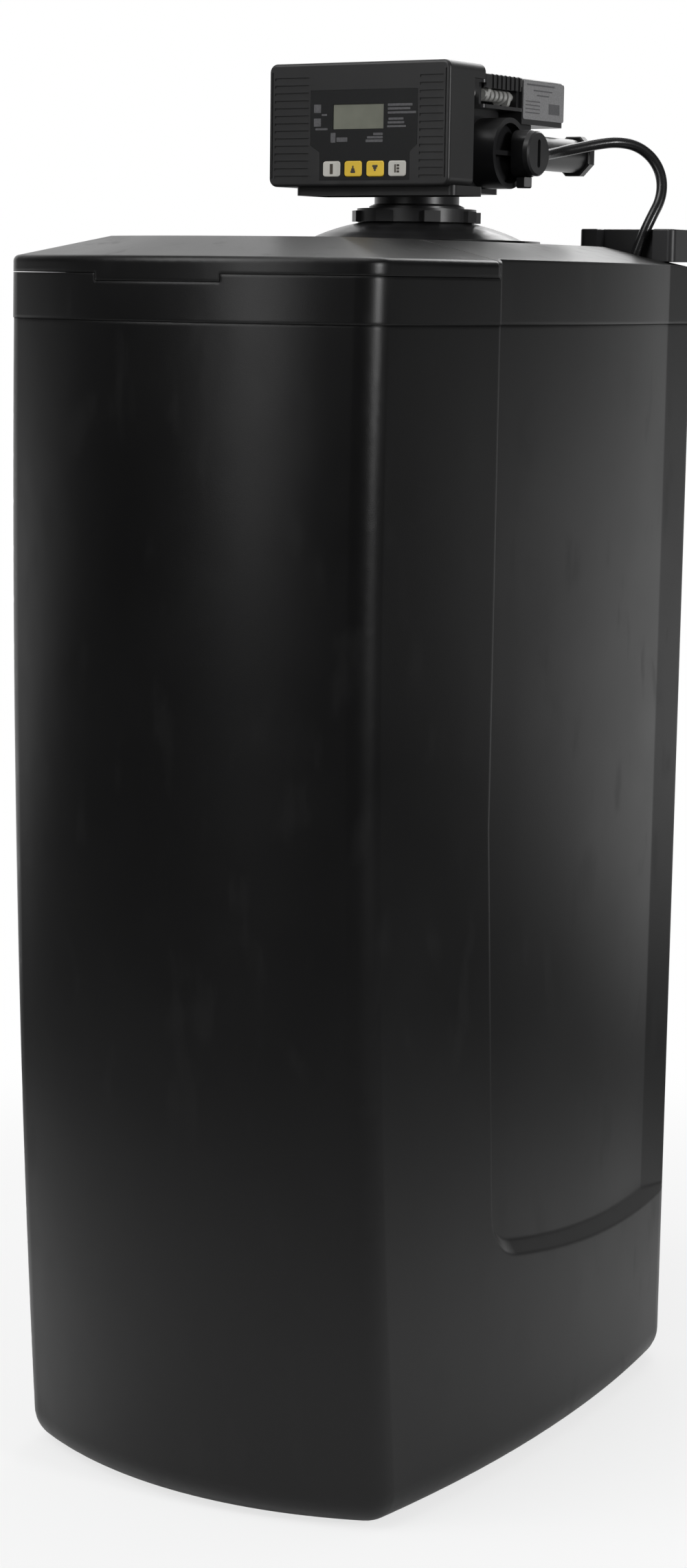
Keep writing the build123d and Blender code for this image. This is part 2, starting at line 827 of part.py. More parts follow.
# Air check: the caged foot of the pick-up tube, standing on the cabinet's floor
with BuildPart() as air_check:
    revolve(
        turned_sketch(
            well_offset_x,
            well_y,
            [
                (0, cabinet_wall),
                (air_check_radius, cabinet_wall),
                (air_check_radius, air_check_shoulder),
                (air_check_neck_radius, air_check_shoulder + 6),
                (air_check_neck_radius, pickup_foot),
                (0, pickup_foot),
            ],
        ),
        axis=Axis((well_offset_x, well_y, 0), (0, 0, 1)),
    )
    for turn in range(4):
        angle = radians(45 + 90 * turn)
        with BuildSketch(Plane.XY.offset(cabinet_wall + 3)):
            with Locations((well_offset_x + 12 * cos(angle), well_y + 12 * sin(angle))):
                Rectangle(8, 8)
        extrude(amount=16, mode=Mode.SUBTRACT)
air_check.part.label = "air_check"
export_step(air_check.part, "parts/air_check.step")

# Float: a ring that rides up the pick-up tube and lifts the shut-off rod
with BuildPart() as brine_float:
    with BuildSketch(Plane.XY.offset(float_bottom)):
        with Locations((well_offset_x, well_y)):
            Circle(float_radius)
            Circle(pickup_radius + 0.4, mode=Mode.SUBTRACT)
    extrude(amount=float_height)
    chamfer(brine_float.faces().sort_by(Axis.Z)[-1].edges().sort_by(Edge.length)[-1], 4)
    with BuildSketch(Plane.XY.offset(float_bottom + float_height - 1)):
        with Locations((well_offset_x + float_rod_offset, well_y)):
            Circle(float_rod_radius)
    extrude(amount=safety_valve_bottom + 8 - float_bottom - float_height + 1)
brine_float.part.label = "brine_float"
export_step(brine_float.part, "parts/brine_float.step")

# Salt grid on its legs, clear of the vessel's boot and the brine well
grid_plate = cabinet_form((grid_height, grid_height + grid_thickness), cabinet_wall + grid_margin)
grid_legs = [
    (-grid_leg_offset, front_y + grid_leg_front),
    (grid_leg_offset, front_y + grid_leg_front),
    (-grid_leg_offset, front_y + grid_leg_rear),
    (grid_leg_offset, front_y + grid_leg_rear),
    (0, front_y + grid_leg_front),
]
grid_slots = [
    (grid_slot_pitch * column, front_y + grid_slot_front + grid_row_pitch * row)
    for row in range(5)
    for column in (-2, -1, 0, 1, 2)
]
with BuildPart() as salt_grid:
    add(grid_plate)
    with BuildSketch(Plane.XY.offset(grid_height)):
        with Locations((0, tank_y)):
            Circle(vessel_radius + boot_wall + grid_margin)
        with Locations((well_offset_x, well_y)):
            Circle(well_radius + grid_margin)
    extrude(amount=grid_thickness, mode=Mode.SUBTRACT)
    with BuildSketch(Plane.XY.offset(grid_height)):
        with Locations(*grid_slots):
            SlotOverall(grid_slot_length, grid_slot_width)
    extrude(amount=grid_thickness, mode=Mode.SUBTRACT)
    with BuildSketch(Plane.XY.offset(cabinet_wall)):
        with Locations(*grid_legs):
            Circle(grid_leg_radius)
    extrude(amount=grid_height - cabinet_wall + 1)
salt_grid.part.label = "salt_grid"
export_step(salt_grid.part, "parts/salt_grid.step")

# Vessel boot: the ring that the round-bottomed vessel stands in
vessel_axis = Axis((0, tank_y, 0), (0, 0, 1))
with BuildPart() as vessel_boot:
    with BuildSketch(Plane(origin=(0, tank_y, 0), x_dir=(1, 0, 0), z_dir=(0, -1, 0))):
        with BuildLine():
            seat_radius = vessel_radius + fit_gap
            seat_dome = vessel_dome + fit_gap
            middle = vessel_bottom + vessel_dome
            seat_foot = middle - seat_dome * sin(radians(boot_seat_angle))
            seat_start = seat_radius * cos(radians(boot_seat_angle))
            EllipticalCenterArc(
                (0, middle),
                seat_radius,
                seat_dome,
                start_angle=360 - boot_seat_angle,
                arc_size=boot_seat_angle,
            )
            Polyline(
                (seat_radius, middle),
                (seat_radius, boot_height),
                (vessel_radius + boot_wall, boot_height),
                (vessel_radius + boot_wall, cabinet_wall),
                (seat_start, cabinet_wall),
                (seat_start, seat_foot),
            )
        make_face()
    revolve(axis=vessel_axis)
vessel_boot.part.label = "vessel_boot"
export_step(vessel_boot.part, "parts/vessel_boot.step")


def vessel_sketch(inset, neck, neck_top):
    """Half section of the vessel, set in by its wall: two domes, a barrel and a neck."""
    radius = vessel_radius - inset
    dome = vessel_dome - inset
    low = vessel_bottom + vessel_dome
    high = vessel_crown_height - vessel_dome
    neck_angle = degrees(asin(sqrt(1 - (neck / radius) ** 2)))
    neck_foot = high + dome * sin(radians(neck_angle))
    with BuildSketch(Plane(origin=(0, tank_y, 0), x_dir=(1, 0, 0), z_dir=(0, -1, 0))) as sketch:
        with BuildLine():
            EllipticalCenterArc((0, low), radius, dome, start_angle=270, arc_size=90)
            Line((radius, low), (radius, high))
            EllipticalCenterArc((0, high), radius, dome, start_angle=0, arc_size=neck_angle)
            Line((neck, neck_foot), (neck, neck_top))
            Line((neck, neck_top), (0, neck_top))
            Line((0, neck_top), (0, low - dome))
        make_face()
    return sketch.sketch


with BuildPart() as resin_vessel:
    revolve(vessel_sketch(0.0, vessel_neck_radius, vessel_neck_top), axis=vessel_axis)
    revolve(
        vessel_sketch(vessel_wall, vessel_neck_bore, vessel_neck_top + 5),
        axis=vessel_axis,
        mode=Mode.SUBTRACT,
    )
resin_vessel.part.label = "resin_vessel"
export_step(resin_vessel.part, "parts/resin_vessel.step")

# Resin bed: settled beads round the riser and over the lower distributor
bed_radius = vessel_radius - vessel_wall - fit_gap
bed_dome = vessel_dome - vessel_wall - fit_gap
with BuildPart() as resin_bed:
    with BuildSketch(Plane(origin=(0, tank_y, 0), x_dir=(1, 0, 0), z_dir=(0, -1, 0))):
        with BuildLine():
            middle = vessel_bottom + vessel_dome
            EllipticalCenterArc((0, middle), bed_radius, bed_dome, start_angle=270, arc_size=90)
            Line((bed_radius, middle), (bed_radius, bed_top))
            Line((bed_radius, bed_top), (0, bed_top))
            Line((0, bed_top), (0, middle - bed_dome))
        make_face()
    revolve(axis=vessel_axis)
    with BuildSketch(Plane.XY.offset(0)):
        with Locations((0, tank_y)):
            Circle(basket_radius + fit_gap)
    extrude(amount=riser_foot + basket_length / 2 + fit_gap, mode=Mode.SUBTRACT)
    with BuildSketch(Plane.XY.offset(riser_foot)):
        with Locations((0, tank_y)):
            Circle(riser_radius + fit_gap)
    extrude(amount=bed_top, mode=Mode.SUBTRACT)
resin_bed.part.label = "resin_bed"
export_step(resin_bed.part, "parts/resin_bed.step")

with BuildPart() as riser_tube:
    with BuildSketch(Plane.XY.offset(riser_foot)):
        with Locations((0, tank_y)):
            Circle(riser_radius)
            Circle(riser_radius - riser_wall, mode=Mode.SUBTRACT)
    extrude(amount=riser_top - riser_foot)
riser_tube.part.label = "riser_tube"
export_step(riser_tube.part, "parts/riser_tube.step")

# Distributors: slotted baskets at the foot of the riser and under the valve
basket_foot = vessel_bottom + vessel_wall + 2.0
with BuildPart() as lower_distributor:
    revolve(
        turned_sketch(
            0,
            tank_y,
            [
                (0, basket_foot),
                (basket_radius - 6, basket_foot),
                (basket_radius, basket_foot + 6),
                (basket_radius, riser_foot + basket_length / 2),
                (riser_radius + fit_gap / 2, riser_foot + basket_length / 2),
                (riser_radius + fit_gap / 2, riser_foot),
                (0, riser_foot),
            ],
        ),
        axis=vessel_axis,
    )
    for ring in range(4):
        with BuildSketch(Plane.XY.offset(basket_foot + 9 + 9 * ring)):
            with Locations((0, tank_y)):
                Circle(basket_radius + 1)
                Circle(basket_radius - basket_slot, mode=Mode.SUBTRACT)
        extrude(amount=basket_slot, mode=Mode.SUBTRACT)
lower_distributor.part.label = "lower_distributor"
export_step(lower_distributor.part, "parts/lower_distributor.step")

with BuildPart() as upper_basket:
    revolve(
        turned_sketch(
            0,
            tank_y,
            [
                (riser_radius + fit_gap, spigot_foot - upper_basket_length),
                (upper_basket_foot_radius, spigot_foot - upper_basket_length),
                (upper_basket_radius, spigot_foot - upper_basket_length + 6),
                (upper_basket_radius, spigot_foot),
                (riser_radius + fit_gap, spigot_foot),
            ],
        ),
        axis=vessel_axis,
    )
    for ring in range(4):
        with BuildSketch(Plane.XY.offset(spigot_foot - upper_basket_length + 10 + 8 * ring)):
            with Locations((0, tank_y)):
                Circle(upper_basket_radius + 1)
                Circle(upper_basket_radius - basket_slot, mode=Mode.SUBTRACT)
        extrude(amount=basket_slot, mode=Mode.SUBTRACT)
upper_basket.part.label = "upper_basket"
export_step(upper_basket.part, "parts/upper_basket.step")

# Clamp ring round the vessel's neck, with its ring of lugs
ring_top = vessel_neck_top + 2.0
with BuildPart() as tank_ring:
    revolve(
        turned_sketch(
            0,
            tank_y,
            [
                (vessel_neck_radius + fit_gap, dome_height(vessel_neck_radius) + ring_seat_gap),
                (ring_radius - 4, dome_height(ring_radius - 4) + ring_seat_gap),
                (ring_radius - 4, ring_top),
                (vessel_neck_radius + fit_gap, ring_top),
            ],
        ),
        axis=vessel_axis,
    )
    for turn in range(ring_lugs):
        lug = Plane(
            origin=(0, tank_y, dome_height(ring_radius - 4) + ring_seat_gap),
            x_dir=(cos(2 * pi * turn / ring_lugs), sin(2 * pi * turn / ring_lugs), 0),
            z_dir=(0, 0, 1),
        )
        with BuildSketch(lug):
            with Locations((ring_radius - 4, 0)):
                Rectangle(8, 14)
        extrude(amount=ring_top - dome_height(ring_radius - 4) - ring_seat_gap - 2)
tank_ring.part.label = "tank_ring"
export_step(tank_ring.part, "parts/tank_ring.step")


def behind(offset_y):
    """Depth of a place on the valve, from its distance behind the vessel's axis."""
    return tank_y + offset_y


# Valve body: neck, core block, two rear ports and the round injector housing
with BuildPart() as valve_body:
    revolve(
        turned_sketch(
            0,
            tank_y,
            [
                (riser_radius + fit_gap, spigot_foot),
                (vessel_neck_bore - fit_gap, spigot_foot),
                (vessel_neck_bore - fit_gap, vessel_neck_top),
                (vessel_neck_radius - 1, vessel_neck_top),
                (vessel_neck_radius - 1, vessel_neck_top + 4),
                (valve_neck_radius, vessel_neck_top + 6),
                (valve_neck_radius, valve_bottom + 2),
                (riser_radius + fit_gap, valve_bottom + 2),
            ],
        ),
        axis=vessel_axis,
    )
    with BuildSketch(Plane.XY.offset(valve_bottom)):
        with Locations((0, behind((valve_front + valve_back) / 2))):
            RectangleRounded(2 * valve_half_width, valve_back - valve_front, valve_corner_radius)
    extrude(amount=valve_top - valve_bottom)
    with BuildSketch(Plane.XY.offset(port_height - 13)):
        with Locations((0, behind((34 + valve_back + 12) / 2))):
            Rectangle(2 * port_offset, valve_back + 12 - 34)
    extrude(amount=26)
    with BuildSketch(Plane.XY.offset(port_height)):
        with Locations(((box_left + box_right) / 2, behind(box_front + 8))):
            Rectangle(box_right - box_left - 12, 40)
    extrude(amount=box_bottom - port_height)
    for side in (-1, 1):
        with BuildSketch(facing_front(behind(port_end))):
            with Locations((side * port_offset, port_height)):
                Circle(port_radius)
        extrude(amount=port_end - boss_centre - boss_width / 2 - fit_gap)
    with BuildSketch(Plane.YZ.offset(drum_root)):
        with Locations((behind(drum_centre), drum_height)):
            Circle(drum_radius)
    extrude(amount=drum_face - drum_root)
    with BuildSketch(Plane.YZ.offset(drum_face - drum_recess)):
        with Locations((behind(drum_centre), drum_height)):
            Circle(drum_radius - drum_rim)
            Rectangle(2 * drum_radius, 4, mode=Mode.SUBTRACT)
    extrude(amount=drum_recess, mode=Mode.SUBTRACT)
    for side in (-1, 1):
        with BuildSketch(facing_front(behind(valve_front + 1))):
            with Locations((side * 30, 1106)):
                Rectangle(16, 34)
        extrude(amount=valve_front - head_back + 1)
    for side in (-1, 1):
        with BuildSketch(facing_front(behind(port_end + 1))):
            with Locations((side * port_offset, port_height)):
                Circle(port_bore_radius)
        extrude(amount=port_end + 1 - port_bore_end, mode=Mode.SUBTRACT)
valve_body.part.label = "valve_body"
export_step(valve_body.part, "parts/valve_body.step")

# Injector boss on the housing's face, its round filter cap and its drain plug
with BuildPart() as injector_boss:
    with BuildSketch(Plane.YZ.offset(drum_face)):
        with Locations((behind(boss_centre), drum_height)):
            SlotOverall(boss_length, boss_width, rotation=90)
    extrude(amount=boss_face - drum_face)
    fillet(injector_boss.faces().sort_by(Axis.X)[-1].edges(), 2)
injector_boss.part.label = "injector_boss"
export_step(injector_boss.part, "parts/injector_boss.step")

with BuildPart() as filter_cap:
    with BuildSketch(Plane.YZ.offset(boss_face)):
        with Locations((behind(boss_centre), drum_height)):
            Circle(filter_cap_radius)
    extrude(amount=filter_cap_thickness)
    chamfer(filter_cap.faces().sort_by(Axis.X)[-1].edges(), 1.5)
    with BuildSketch(Plane.YZ.offset(boss_face + filter_cap_thickness)):
        with Locations((behind(boss_centre), drum_height)):
            SlotOverall(24, 5, rotation=90)
    extrude(amount=-3, mode=Mode.SUBTRACT)
filter_cap.part.label = "filter_cap"
export_step(filter_cap.part, "parts/filter_cap.step")

with BuildPart() as drain_plug:
    with BuildSketch(Plane.XY.offset(drum_height - boss_length / 2)):
        with Locations(((drum_face + boss_face) / 2, behind(boss_centre))):
            RegularPolygon(drain_plug_radius, 6)
    extrude(amount=-drain_plug_length)
    chamfer(drain_plug.faces().sort_by(Axis.Z)[0].edges(), 1)
drain_plug.part.label = "drain_plug"
export_step(drain_plug.part, "parts/drain_plug.step")

# Brine fitting: out of the boss towards the back, ending in a compression nut
brine_exit_direction = (tube_points[1] - tube_points[0]).normalized()
brine_exit = tube_points[0]
fitting_plane = Plane(origin=brine_exit, x_dir=(1, 0, 0), z_dir=-brine_exit_direction)
boss_rear = behind(boss_centre + boss_width / 2)
with BuildPart() as brine_fitting:
    with BuildSketch(fitting_plane.offset(brine_nut_length)):
        Circle(brine_fitting_radius)
    extrude(amount=16)
    split(bisect_by=Plane(origin=(0, boss_rear, 0), x_dir=(1, 0, 0), z_dir=(0, 1, 0)), keep=Keep.TOP)
    with BuildSketch(Plane.YZ.offset(boss_face - 0.1)):
        with Locations((behind(boss_centre), drum_height)):
            Circle(filter_cap_radius + fit_gap)
    extrude(amount=20, mode=Mode.SUBTRACT)
brine_fitting.part.label = "brine_fitting"
export_step(brine_fitting.part, "parts/brine_fitting.step")

with BuildPart() as brine_nut:
    with BuildSketch(fitting_plane):
        RegularPolygon(brine_nut_radius, 6)
    extrude(amount=brine_nut_length)
brine_nut.part.label = "brine_nut"
export_step(brine_nut.part, "parts/brine_nut.step")

# Brine tube: one length held by the fitting above and the safety valve below
with BuildPart() as brine_tube:
    with BuildLine():
        tube_path = FilletPolyline(*tube_points, radius=tube_radii)
    with BuildSketch(Plane(origin=tube_path @ 0, z_dir=tube_path % 0)):
        Circle(tube_radius)
    sweep()
print("brine tube length", round(tube_path.length, 1), "volume", round(brine_tube.part.volume, 1))
print("section times length", round(pi * tube_radius**2 * tube_path.length, 1))
brine_tube.part.label = "brine_tube"
export_step(brine_tube.part, "parts/brine_tube.step")

# Pipe adaptors in the two rear ports, each with its union nut
for side, name in ((-1, "left"), (1, "right")):
    with BuildPart() as pipe_adaptor:
        with BuildSketch(facing_front(behind(adaptor_end))):
            with Locations((side * port_offset, port_height)):
                Circle(adaptor_radius)
        extrude(amount=adaptor_end - port_end)
        with BuildSketch(facing_front(behind(nut_end - nut_recess))):
            with Locations((side * port_offset, port_height)):
                Circle(tail_radius)
        extrude(amount=nut_end - nut_recess - adaptor_end)
        with BuildSketch(facing_front(behind(nut_end))):
            with Locations((side * port_offset, port_height)):
                Circle(port_bore_radius)
        extrude(amount=nut_end - port_end, mode=Mode.SUBTRACT)
    pipe_adaptor.part.label = f"pipe_adaptor_{name}"
    export_step(pipe_adaptor.part, f"parts/pipe_adaptor_{name}.step")
    with BuildPart() as union_nut:
        with BuildSketch(facing_front(behind(nut_end))):
            with Locations((side * port_offset, port_height)):
                RegularPolygon(
                    nut_across_flats / 2,
                    nut_sides,
                    major_radius=False,
                    rotation=180 / nut_sides,
                )
        extrude(amount=nut_end - adaptor_end - fit_gap)
        with BuildSketch(facing_front(behind(nut_end))):
            with Locations((side * port_offset, port_height)):
                Circle(tail_radius + fit_gap)
        extrude(amount=nut_end, mode=Mode.SUBTRACT)
        with BuildSketch(facing_front(behind(nut_end))):
            with Locations((side * port_offset, port_height)):
                Circle(tail_radius + 2)
        extrude(amount=nut_recess, mode=Mode.SUBTRACT)
        for end_face in (union_nut.faces().sort_by(Axis.Y)[0], union_nut.faces().sort_by(Axis.Y)[-1]):
            chamfer(end_face.outer_wire().edges(), nut_chamfer)
    union_nut.part.label = f"union_nut_{name}"
    export_step(union_nut.part, f"parts/union_nut_{name}.step")

# Drain fitting on the valve's left side: a hexagon with a barbed spigot
with BuildPart() as drain_fitting:
    with BuildSketch(Plane.YZ.offset(-valve_half_width - drain_hex_length)):
        with Locations((behind(drain_offset), drain_height)):
            RegularPolygon(drain_hex_radius, 6)
    extrude(amount=drain_hex_length)
    with BuildSketch(Plane.YZ.offset(-valve_half_width - drain_hex_length - drain_spigot_length)):
        with Locations((behind(drain_offset), drain_height)):
            Circle(drain_spigot_radius)
    extrude(amount=drain_spigot_length)
    with BuildSketch(Plane.YZ.offset(-valve_half_width - drain_hex_length - drain_spigot_length)):
        with Locations((behind(drain_offset), drain_height)):
            Circle(drain_bore_radius)
    extrude(amount=drain_spigot_length + drain_hex_length - 2, mode=Mode.SUBTRACT)
drain_fitting.part.label = "drain_fitting"
export_step(drain_fitting.part, "parts/drain_fitting.step")

# Valve top plate: bearings for the camshaft and the flapper rod, and the valve pins
cam_places = [cam_first + number * cam_pitch for number in range(cam_count)]
plate_centre = ((plate_left + plate_right) / 2, behind((plate_front + plate_back) / 2))
plate_top = valve_top + plate_thickness
tail_x = flapper_axis_x - flapper_tail_reach
with BuildPart() as valve_top_plate:
    with BuildSketch(Plane.XY.offset(valve_top)):
        with Locations(plate_centre):
            RectangleRounded(plate_right - plate_left, plate_back - plate_front, 4)
    extrude(amount=plate_thickness)
    for end in (plate_front, plate_back - bearing_thickness):
        with BuildSketch(facing_front(behind(end + bearing_thickness))):
            with Locations(((flapper_axis_x + cam_axis_x) / 2, (plate_top + upper_plate_bottom) / 2)):
                Rectangle(cam_axis_x - flapper_axis_x + 14, upper_plate_bottom - plate_top)
        extrude(amount=bearing_thickness)
    with BuildSketch(facing_front(behind(plate_back + 1))):
        with Locations((cam_axis_x, cam_axis_height)):
            Circle(cam_shaft_radius + shaft_clearance)
        with Locations((flapper_axis_x, flapper_axis_height)):
            Circle(flapper_rod_radius + 0.02)
    extrude(amount=plate_back - plate_front + 2, mode=Mode.SUBTRACT)
    with BuildSketch(Plane.XY.offset(plate_top)):
        with Locations(*[(tail_x, behind(place + cam_thickness / 2)) for place in cam_places]):
            Circle(1.6)
    extrude(amount=valve_pin_height)
valve_top_plate.part.label = "valve_top_plate"
export_step(valve_top_plate.part, "parts/valve_top_plate.step")

# Cam cover: the upper plate on two posts, its right edge turned down and grooved
with BuildPart() as cam_cover:
    with BuildSketch(Plane.XY.offset(upper_plate_bottom)):
        with Locations(plate_centre):
            RectangleRounded(plate_right - plate_left, plate_back - plate_front, 4)
    extrude(amount=upper_plate_top - upper_plate_bottom)
    fillet(cam_cover.faces().sort_by(Axis.Z)[-1].edges(), 2)
    with BuildSketch(Plane.XY.offset(cover_lip_bottom)):
        with Locations((plate_right - 1.25, plate_centre[1])):
            Rectangle(2.5, plate_back - plate_front - 8)
    extrude(amount=upper_plate_bottom - cover_lip_bottom)
    with BuildSketch(Plane.XY.offset(plate_top)):
        with Locations((plate_left + 8, behind(plate_front + 9)), (plate_left + 8, behind(plate_back - 9))):
            Circle(4)
    extrude(amount=upper_plate_bottom - plate_top)
    with BuildSketch(Plane.XY.offset(cover_lip_bottom - 1)):
        with Locations(*[(plate_right, behind(place + cam_thickness + 1.5)) for place in cam_places]):
            Rectangle(2.4, 3.2)
    extrude(amount=upper_plate_top, mode=Mode.SUBTRACT)
cam_cover.part.label = "cam_cover"
export_step(cam_cover.part, "parts/cam_cover.step")

screw_places = [(x, behind(y)) for x in (plate_left + 8, 4, 27) for y in (plate_front + 9, plate_back - 9)]
with BuildPart() as cover_screws:
    with BuildSketch(Plane.XY.offset(upper_plate_top)):
        with Locations(*screw_places):
            Circle(screw_head_radius)
    extrude(amount=screw_head_height)
    with BuildSketch(Plane.XY.offset(upper_plate_top + screw_head_height)):
        with Locations(*screw_places):
            Rectangle(4.2, 1.0)
            Rectangle(1.0, 4.2)
    extrude(amount=-1.2, mode=Mode.SUBTRACT)
cover_screws.part.label = "cover_screws"
export_step(cover_screws.part, "parts/cover_screws.step")

# Camshaft: seven cams along one shaft, each turned on from the last
with BuildPart() as camshaft:
    with BuildSketch(facing_front(behind(plate_back + 1))):
        with Locations((cam_axis_x, cam_axis_height)):
            Circle(cam_shaft_radius)
    extrude(amount=plate_back + 1 - gear_front + 1)
    for number, place in enumerate(cam_places):
        angle = radians(number * cam_turn)
        nose = cam_lobe_radius - cam_nose_radius
        with BuildSketch(facing_front(behind(place + cam_thickness))):
            with Locations((cam_axis_x, cam_axis_height)):
                Circle(cam_base_radius)
            with Locations((cam_axis_x + nose * cos(angle), cam_axis_height + nose * sin(angle))):
                Circle(cam_nose_radius)
            make_hull()
        extrude(amount=cam_thickness)
camshaft.part.label = "camshaft"
export_step(camshaft.part, "parts/camshaft.step")

# Flappers: sprung levers that the cams rock to open the valve's ports
for number, place in enumerate(cam_places):
    with BuildPart() as flapper:
        for tip_x, tip_z, tip_radius in (
            (cam_axis_x - cam_lobe_radius - fit_gap - 1.3, flapper_axis_height + 6, 1.3),
            (tail_x, flapper_axis_height - 1.7, 1.2),
        ):
            with BuildSketch(facing_front(behind(place + cam_thickness))):
                with Locations((flapper_axis_x, flapper_axis_height)):
                    Circle(flapper_hub_radius)
                with Locations((tip_x, tip_z)):
                    Circle(tip_radius)
                make_hull()
            extrude(amount=cam_thickness)
        with BuildSketch(facing_front(behind(place + cam_thickness + 1))):
            with Locations((flapper_axis_x, flapper_axis_height)):
                Circle(flapper_rod_radius + shaft_clearance)
        extrude(amount=cam_thickness + 2, mode=Mode.SUBTRACT)
    flapper.part.label = f"flapper_{number + 1}"
    export_step(flapper.part, f"parts/flapper_{number + 1}.step")

with BuildPart() as flapper_rod:
    with BuildSketch(facing_front(behind(plate_back))):
        with Locations((flapper_axis_x, flapper_axis_height)):
            Circle(flapper_rod_radius)
    extrude(amount=plate_back - plate_front)
flapper_rod.part.label = "flapper_rod"
export_step(flapper_rod.part, "parts/flapper_rod.step")


def gear_sketch(plane, teeth, first_angle):
    """Outline of a small gear, each tooth tapered from root to tip with some backlash."""
    root = gear_module * (teeth - 2.5) / 2
    tip = gear_module * (teeth + 2) / 2
    points = []
    for tooth in range(teeth):
        for radius, share in ((root, -0.34), (tip, -0.12), (tip, 0.12), (root, 0.34)):
            angle = radians(first_angle + (tooth + share) * 360 / teeth)
            points.append((radius * cos(angle), radius * sin(angle)))
    with BuildSketch(plane) as sketch:
        with BuildLine():
            Polyline(*points, close=True)
        make_face()
    return sketch.sketch


# Drive: the camshaft's gear, the motor's pinion in mesh with it, and the motor
gear_back = behind(gear_front + gear_width)
pinion_x = cam_axis_x - gear_module * (gear_teeth + pinion_teeth) / 2
gear_plane = Plane(origin=(cam_axis_x, gear_back, cam_axis_height), x_dir=(1, 0, 0), z_dir=(0, -1, 0))
pinion_plane = Plane(origin=(pinion_x, gear_back, cam_axis_height), x_dir=(1, 0, 0), z_dir=(0, -1, 0))
with BuildPart() as drive_gear:
    extrude(gear_sketch(gear_plane, gear_teeth, 0), amount=gear_width)
    with BuildSketch(gear_plane):
        Circle(cam_shaft_radius)
    extrude(amount=gear_width, mode=Mode.SUBTRACT)
drive_gear.part.label = "drive_gear"
export_step(drive_gear.part, "parts/drive_gear.step")

with BuildPart() as motor_pinion:
    extrude(gear_sketch(pinion_plane, pinion_teeth, 180 / pinion_teeth), amount=gear_width)
    with BuildSketch(pinion_plane.offset(gear_width)):
        Circle(motor_shaft_radius)
    extrude(amount=motor_gap + motor_shaft_depth)
motor_pinion.part.label = "motor_pinion"
export_step(motor_pinion.part, "parts/motor_pinion.step")

motor_back = behind(gear_front - motor_gap)
with BuildPart() as drive_motor:
    with BuildSketch(facing_front(motor_back)):
        with Locations((pinion_x, cam_axis_height)):
            RectangleRounded(motor_size, motor_size, 3)
    extrude(amount=motor_length)
    with BuildSketch(facing_front(motor_back)):
        with Locations((pinion_x, cam_axis_height)):
            Circle(motor_shaft_radius + shaft_clearance)
    extrude(amount=motor_shaft_depth + 1, mode=Mode.SUBTRACT)
drive_motor.part.label = "drive_motor"
export_step(drive_motor.part, "parts/drive_motor.step")

# Rear box: hollow housing behind the cam cover, with a flat face for a label
with BuildPart() as rear_box:
    for shell in (0.0, box_wall):
        with BuildSketch(Plane.XY.offset(box_bottom)):
            with Locations(((box_left + box_right) / 2, behind((box_front + box_back) / 2))):
                Rectangle(box_right - box_left - 2 * shell, box_back - box_front - 2 * shell)
        extrude(
            amount=box_top - box_bottom - shell,
            mode=Mode.SUBTRACT if shell else Mode.ADD,
        )
        if not shell:
            fillet(rear_box.faces().sort_by(Axis.Y)[-1].edges().filter_by(Axis.Z), 5)
            fillet(rear_box.faces().sort_by(Axis.Z)[-1].edges(), 3)
    with BuildSketch(Plane.XY.offset(box_bottom)):
        with Locations(((box_left + box_right) / 2, behind((box_front + box_back) / 2))):
            Rectangle(box_right - box_left - 1, box_back - box_front - 11)
    extrude(amount=box_wall)
rear_box.part.label = "rear_box"
export_step(rear_box.part, "parts/rear_box.step")

# Control head: housing with an overhanging hood above and a skirt below
head_middle = (head_bottom + head_top) / 2
head_height = head_top - head_bottom
bezel_back = behind(head_front + bezel_depth)
with BuildPart() as control_housing:
    with BuildSketch(facing_front(behind(hood_back))):
        with Locations((0, head_middle)):
            RectangleRounded(2 * head_half_width, head_height, head_corner_radius)
            RectangleRounded(
                2 * (head_half_width - head_wall),
                head_height - 2 * head_wall,
                head_corner_radius - head_wall,
                mode=Mode.SUBTRACT,
            )
    extrude(amount=behind(hood_back) - bezel_back)
    add(
        block_between(
            (-head_half_width - 5, behind(head_back), skirt_bottom),
            (head_half_width + 5, behind(hood_back) + 5, hood_bottom),
        ),
        mode=Mode.SUBTRACT,
    )
    with BuildSketch(facing_front(behind(head_back))):
        with Locations((0, head_middle)):
            RectangleRounded(2 * head_half_width, head_height, head_corner_radius)
    extrude(amount=head_wall)
    with BuildSketch(Plane.XY.offset(skirt_bottom)):
        with Locations(((skirt_left + head_half_width) / 2, behind((head_front + bezel_depth + hood_back) / 2))):
            RectangleRounded(head_half_width - skirt_left, hood_back - head_front - bezel_depth, 5)
    extrude(amount=head_bottom + 1 - skirt_bottom)
    with BuildSketch(Plane.XY.offset(skirt_bottom)):
        with Locations(((skirt_left + head_half_width) / 2, behind((head_front + bezel_depth + hood_back) / 2))):
            Rectangle(
                head_half_width - skirt_left - 2 * head_wall, hood_back - head_front - bezel_depth - 2 * head_wall
            )
    extrude(amount=head_bottom - skirt_bottom - head_wall, mode=Mode.SUBTRACT)
    with BuildSketch(facing_front(behind(head_back) + 1)):
        with Locations((cam_axis_x, cam_axis_height)):
            Circle(cam_shaft_radius + fit_gap)
    extrude(amount=head_wall + 2, mode=Mode.SUBTRACT)
    with BuildSketch(facing_front(behind(head_back) - head_wall)):
        with Locations(*[(pinion_x - 9, cam_axis_height + rise) for rise in (-9, 9)]):
            Circle(3)
    extrude(amount=behind(head_back) - head_wall - motor_back)
control_housing.part.label = "control_housing"
export_step(control_housing.part, "parts/control_housing.step")

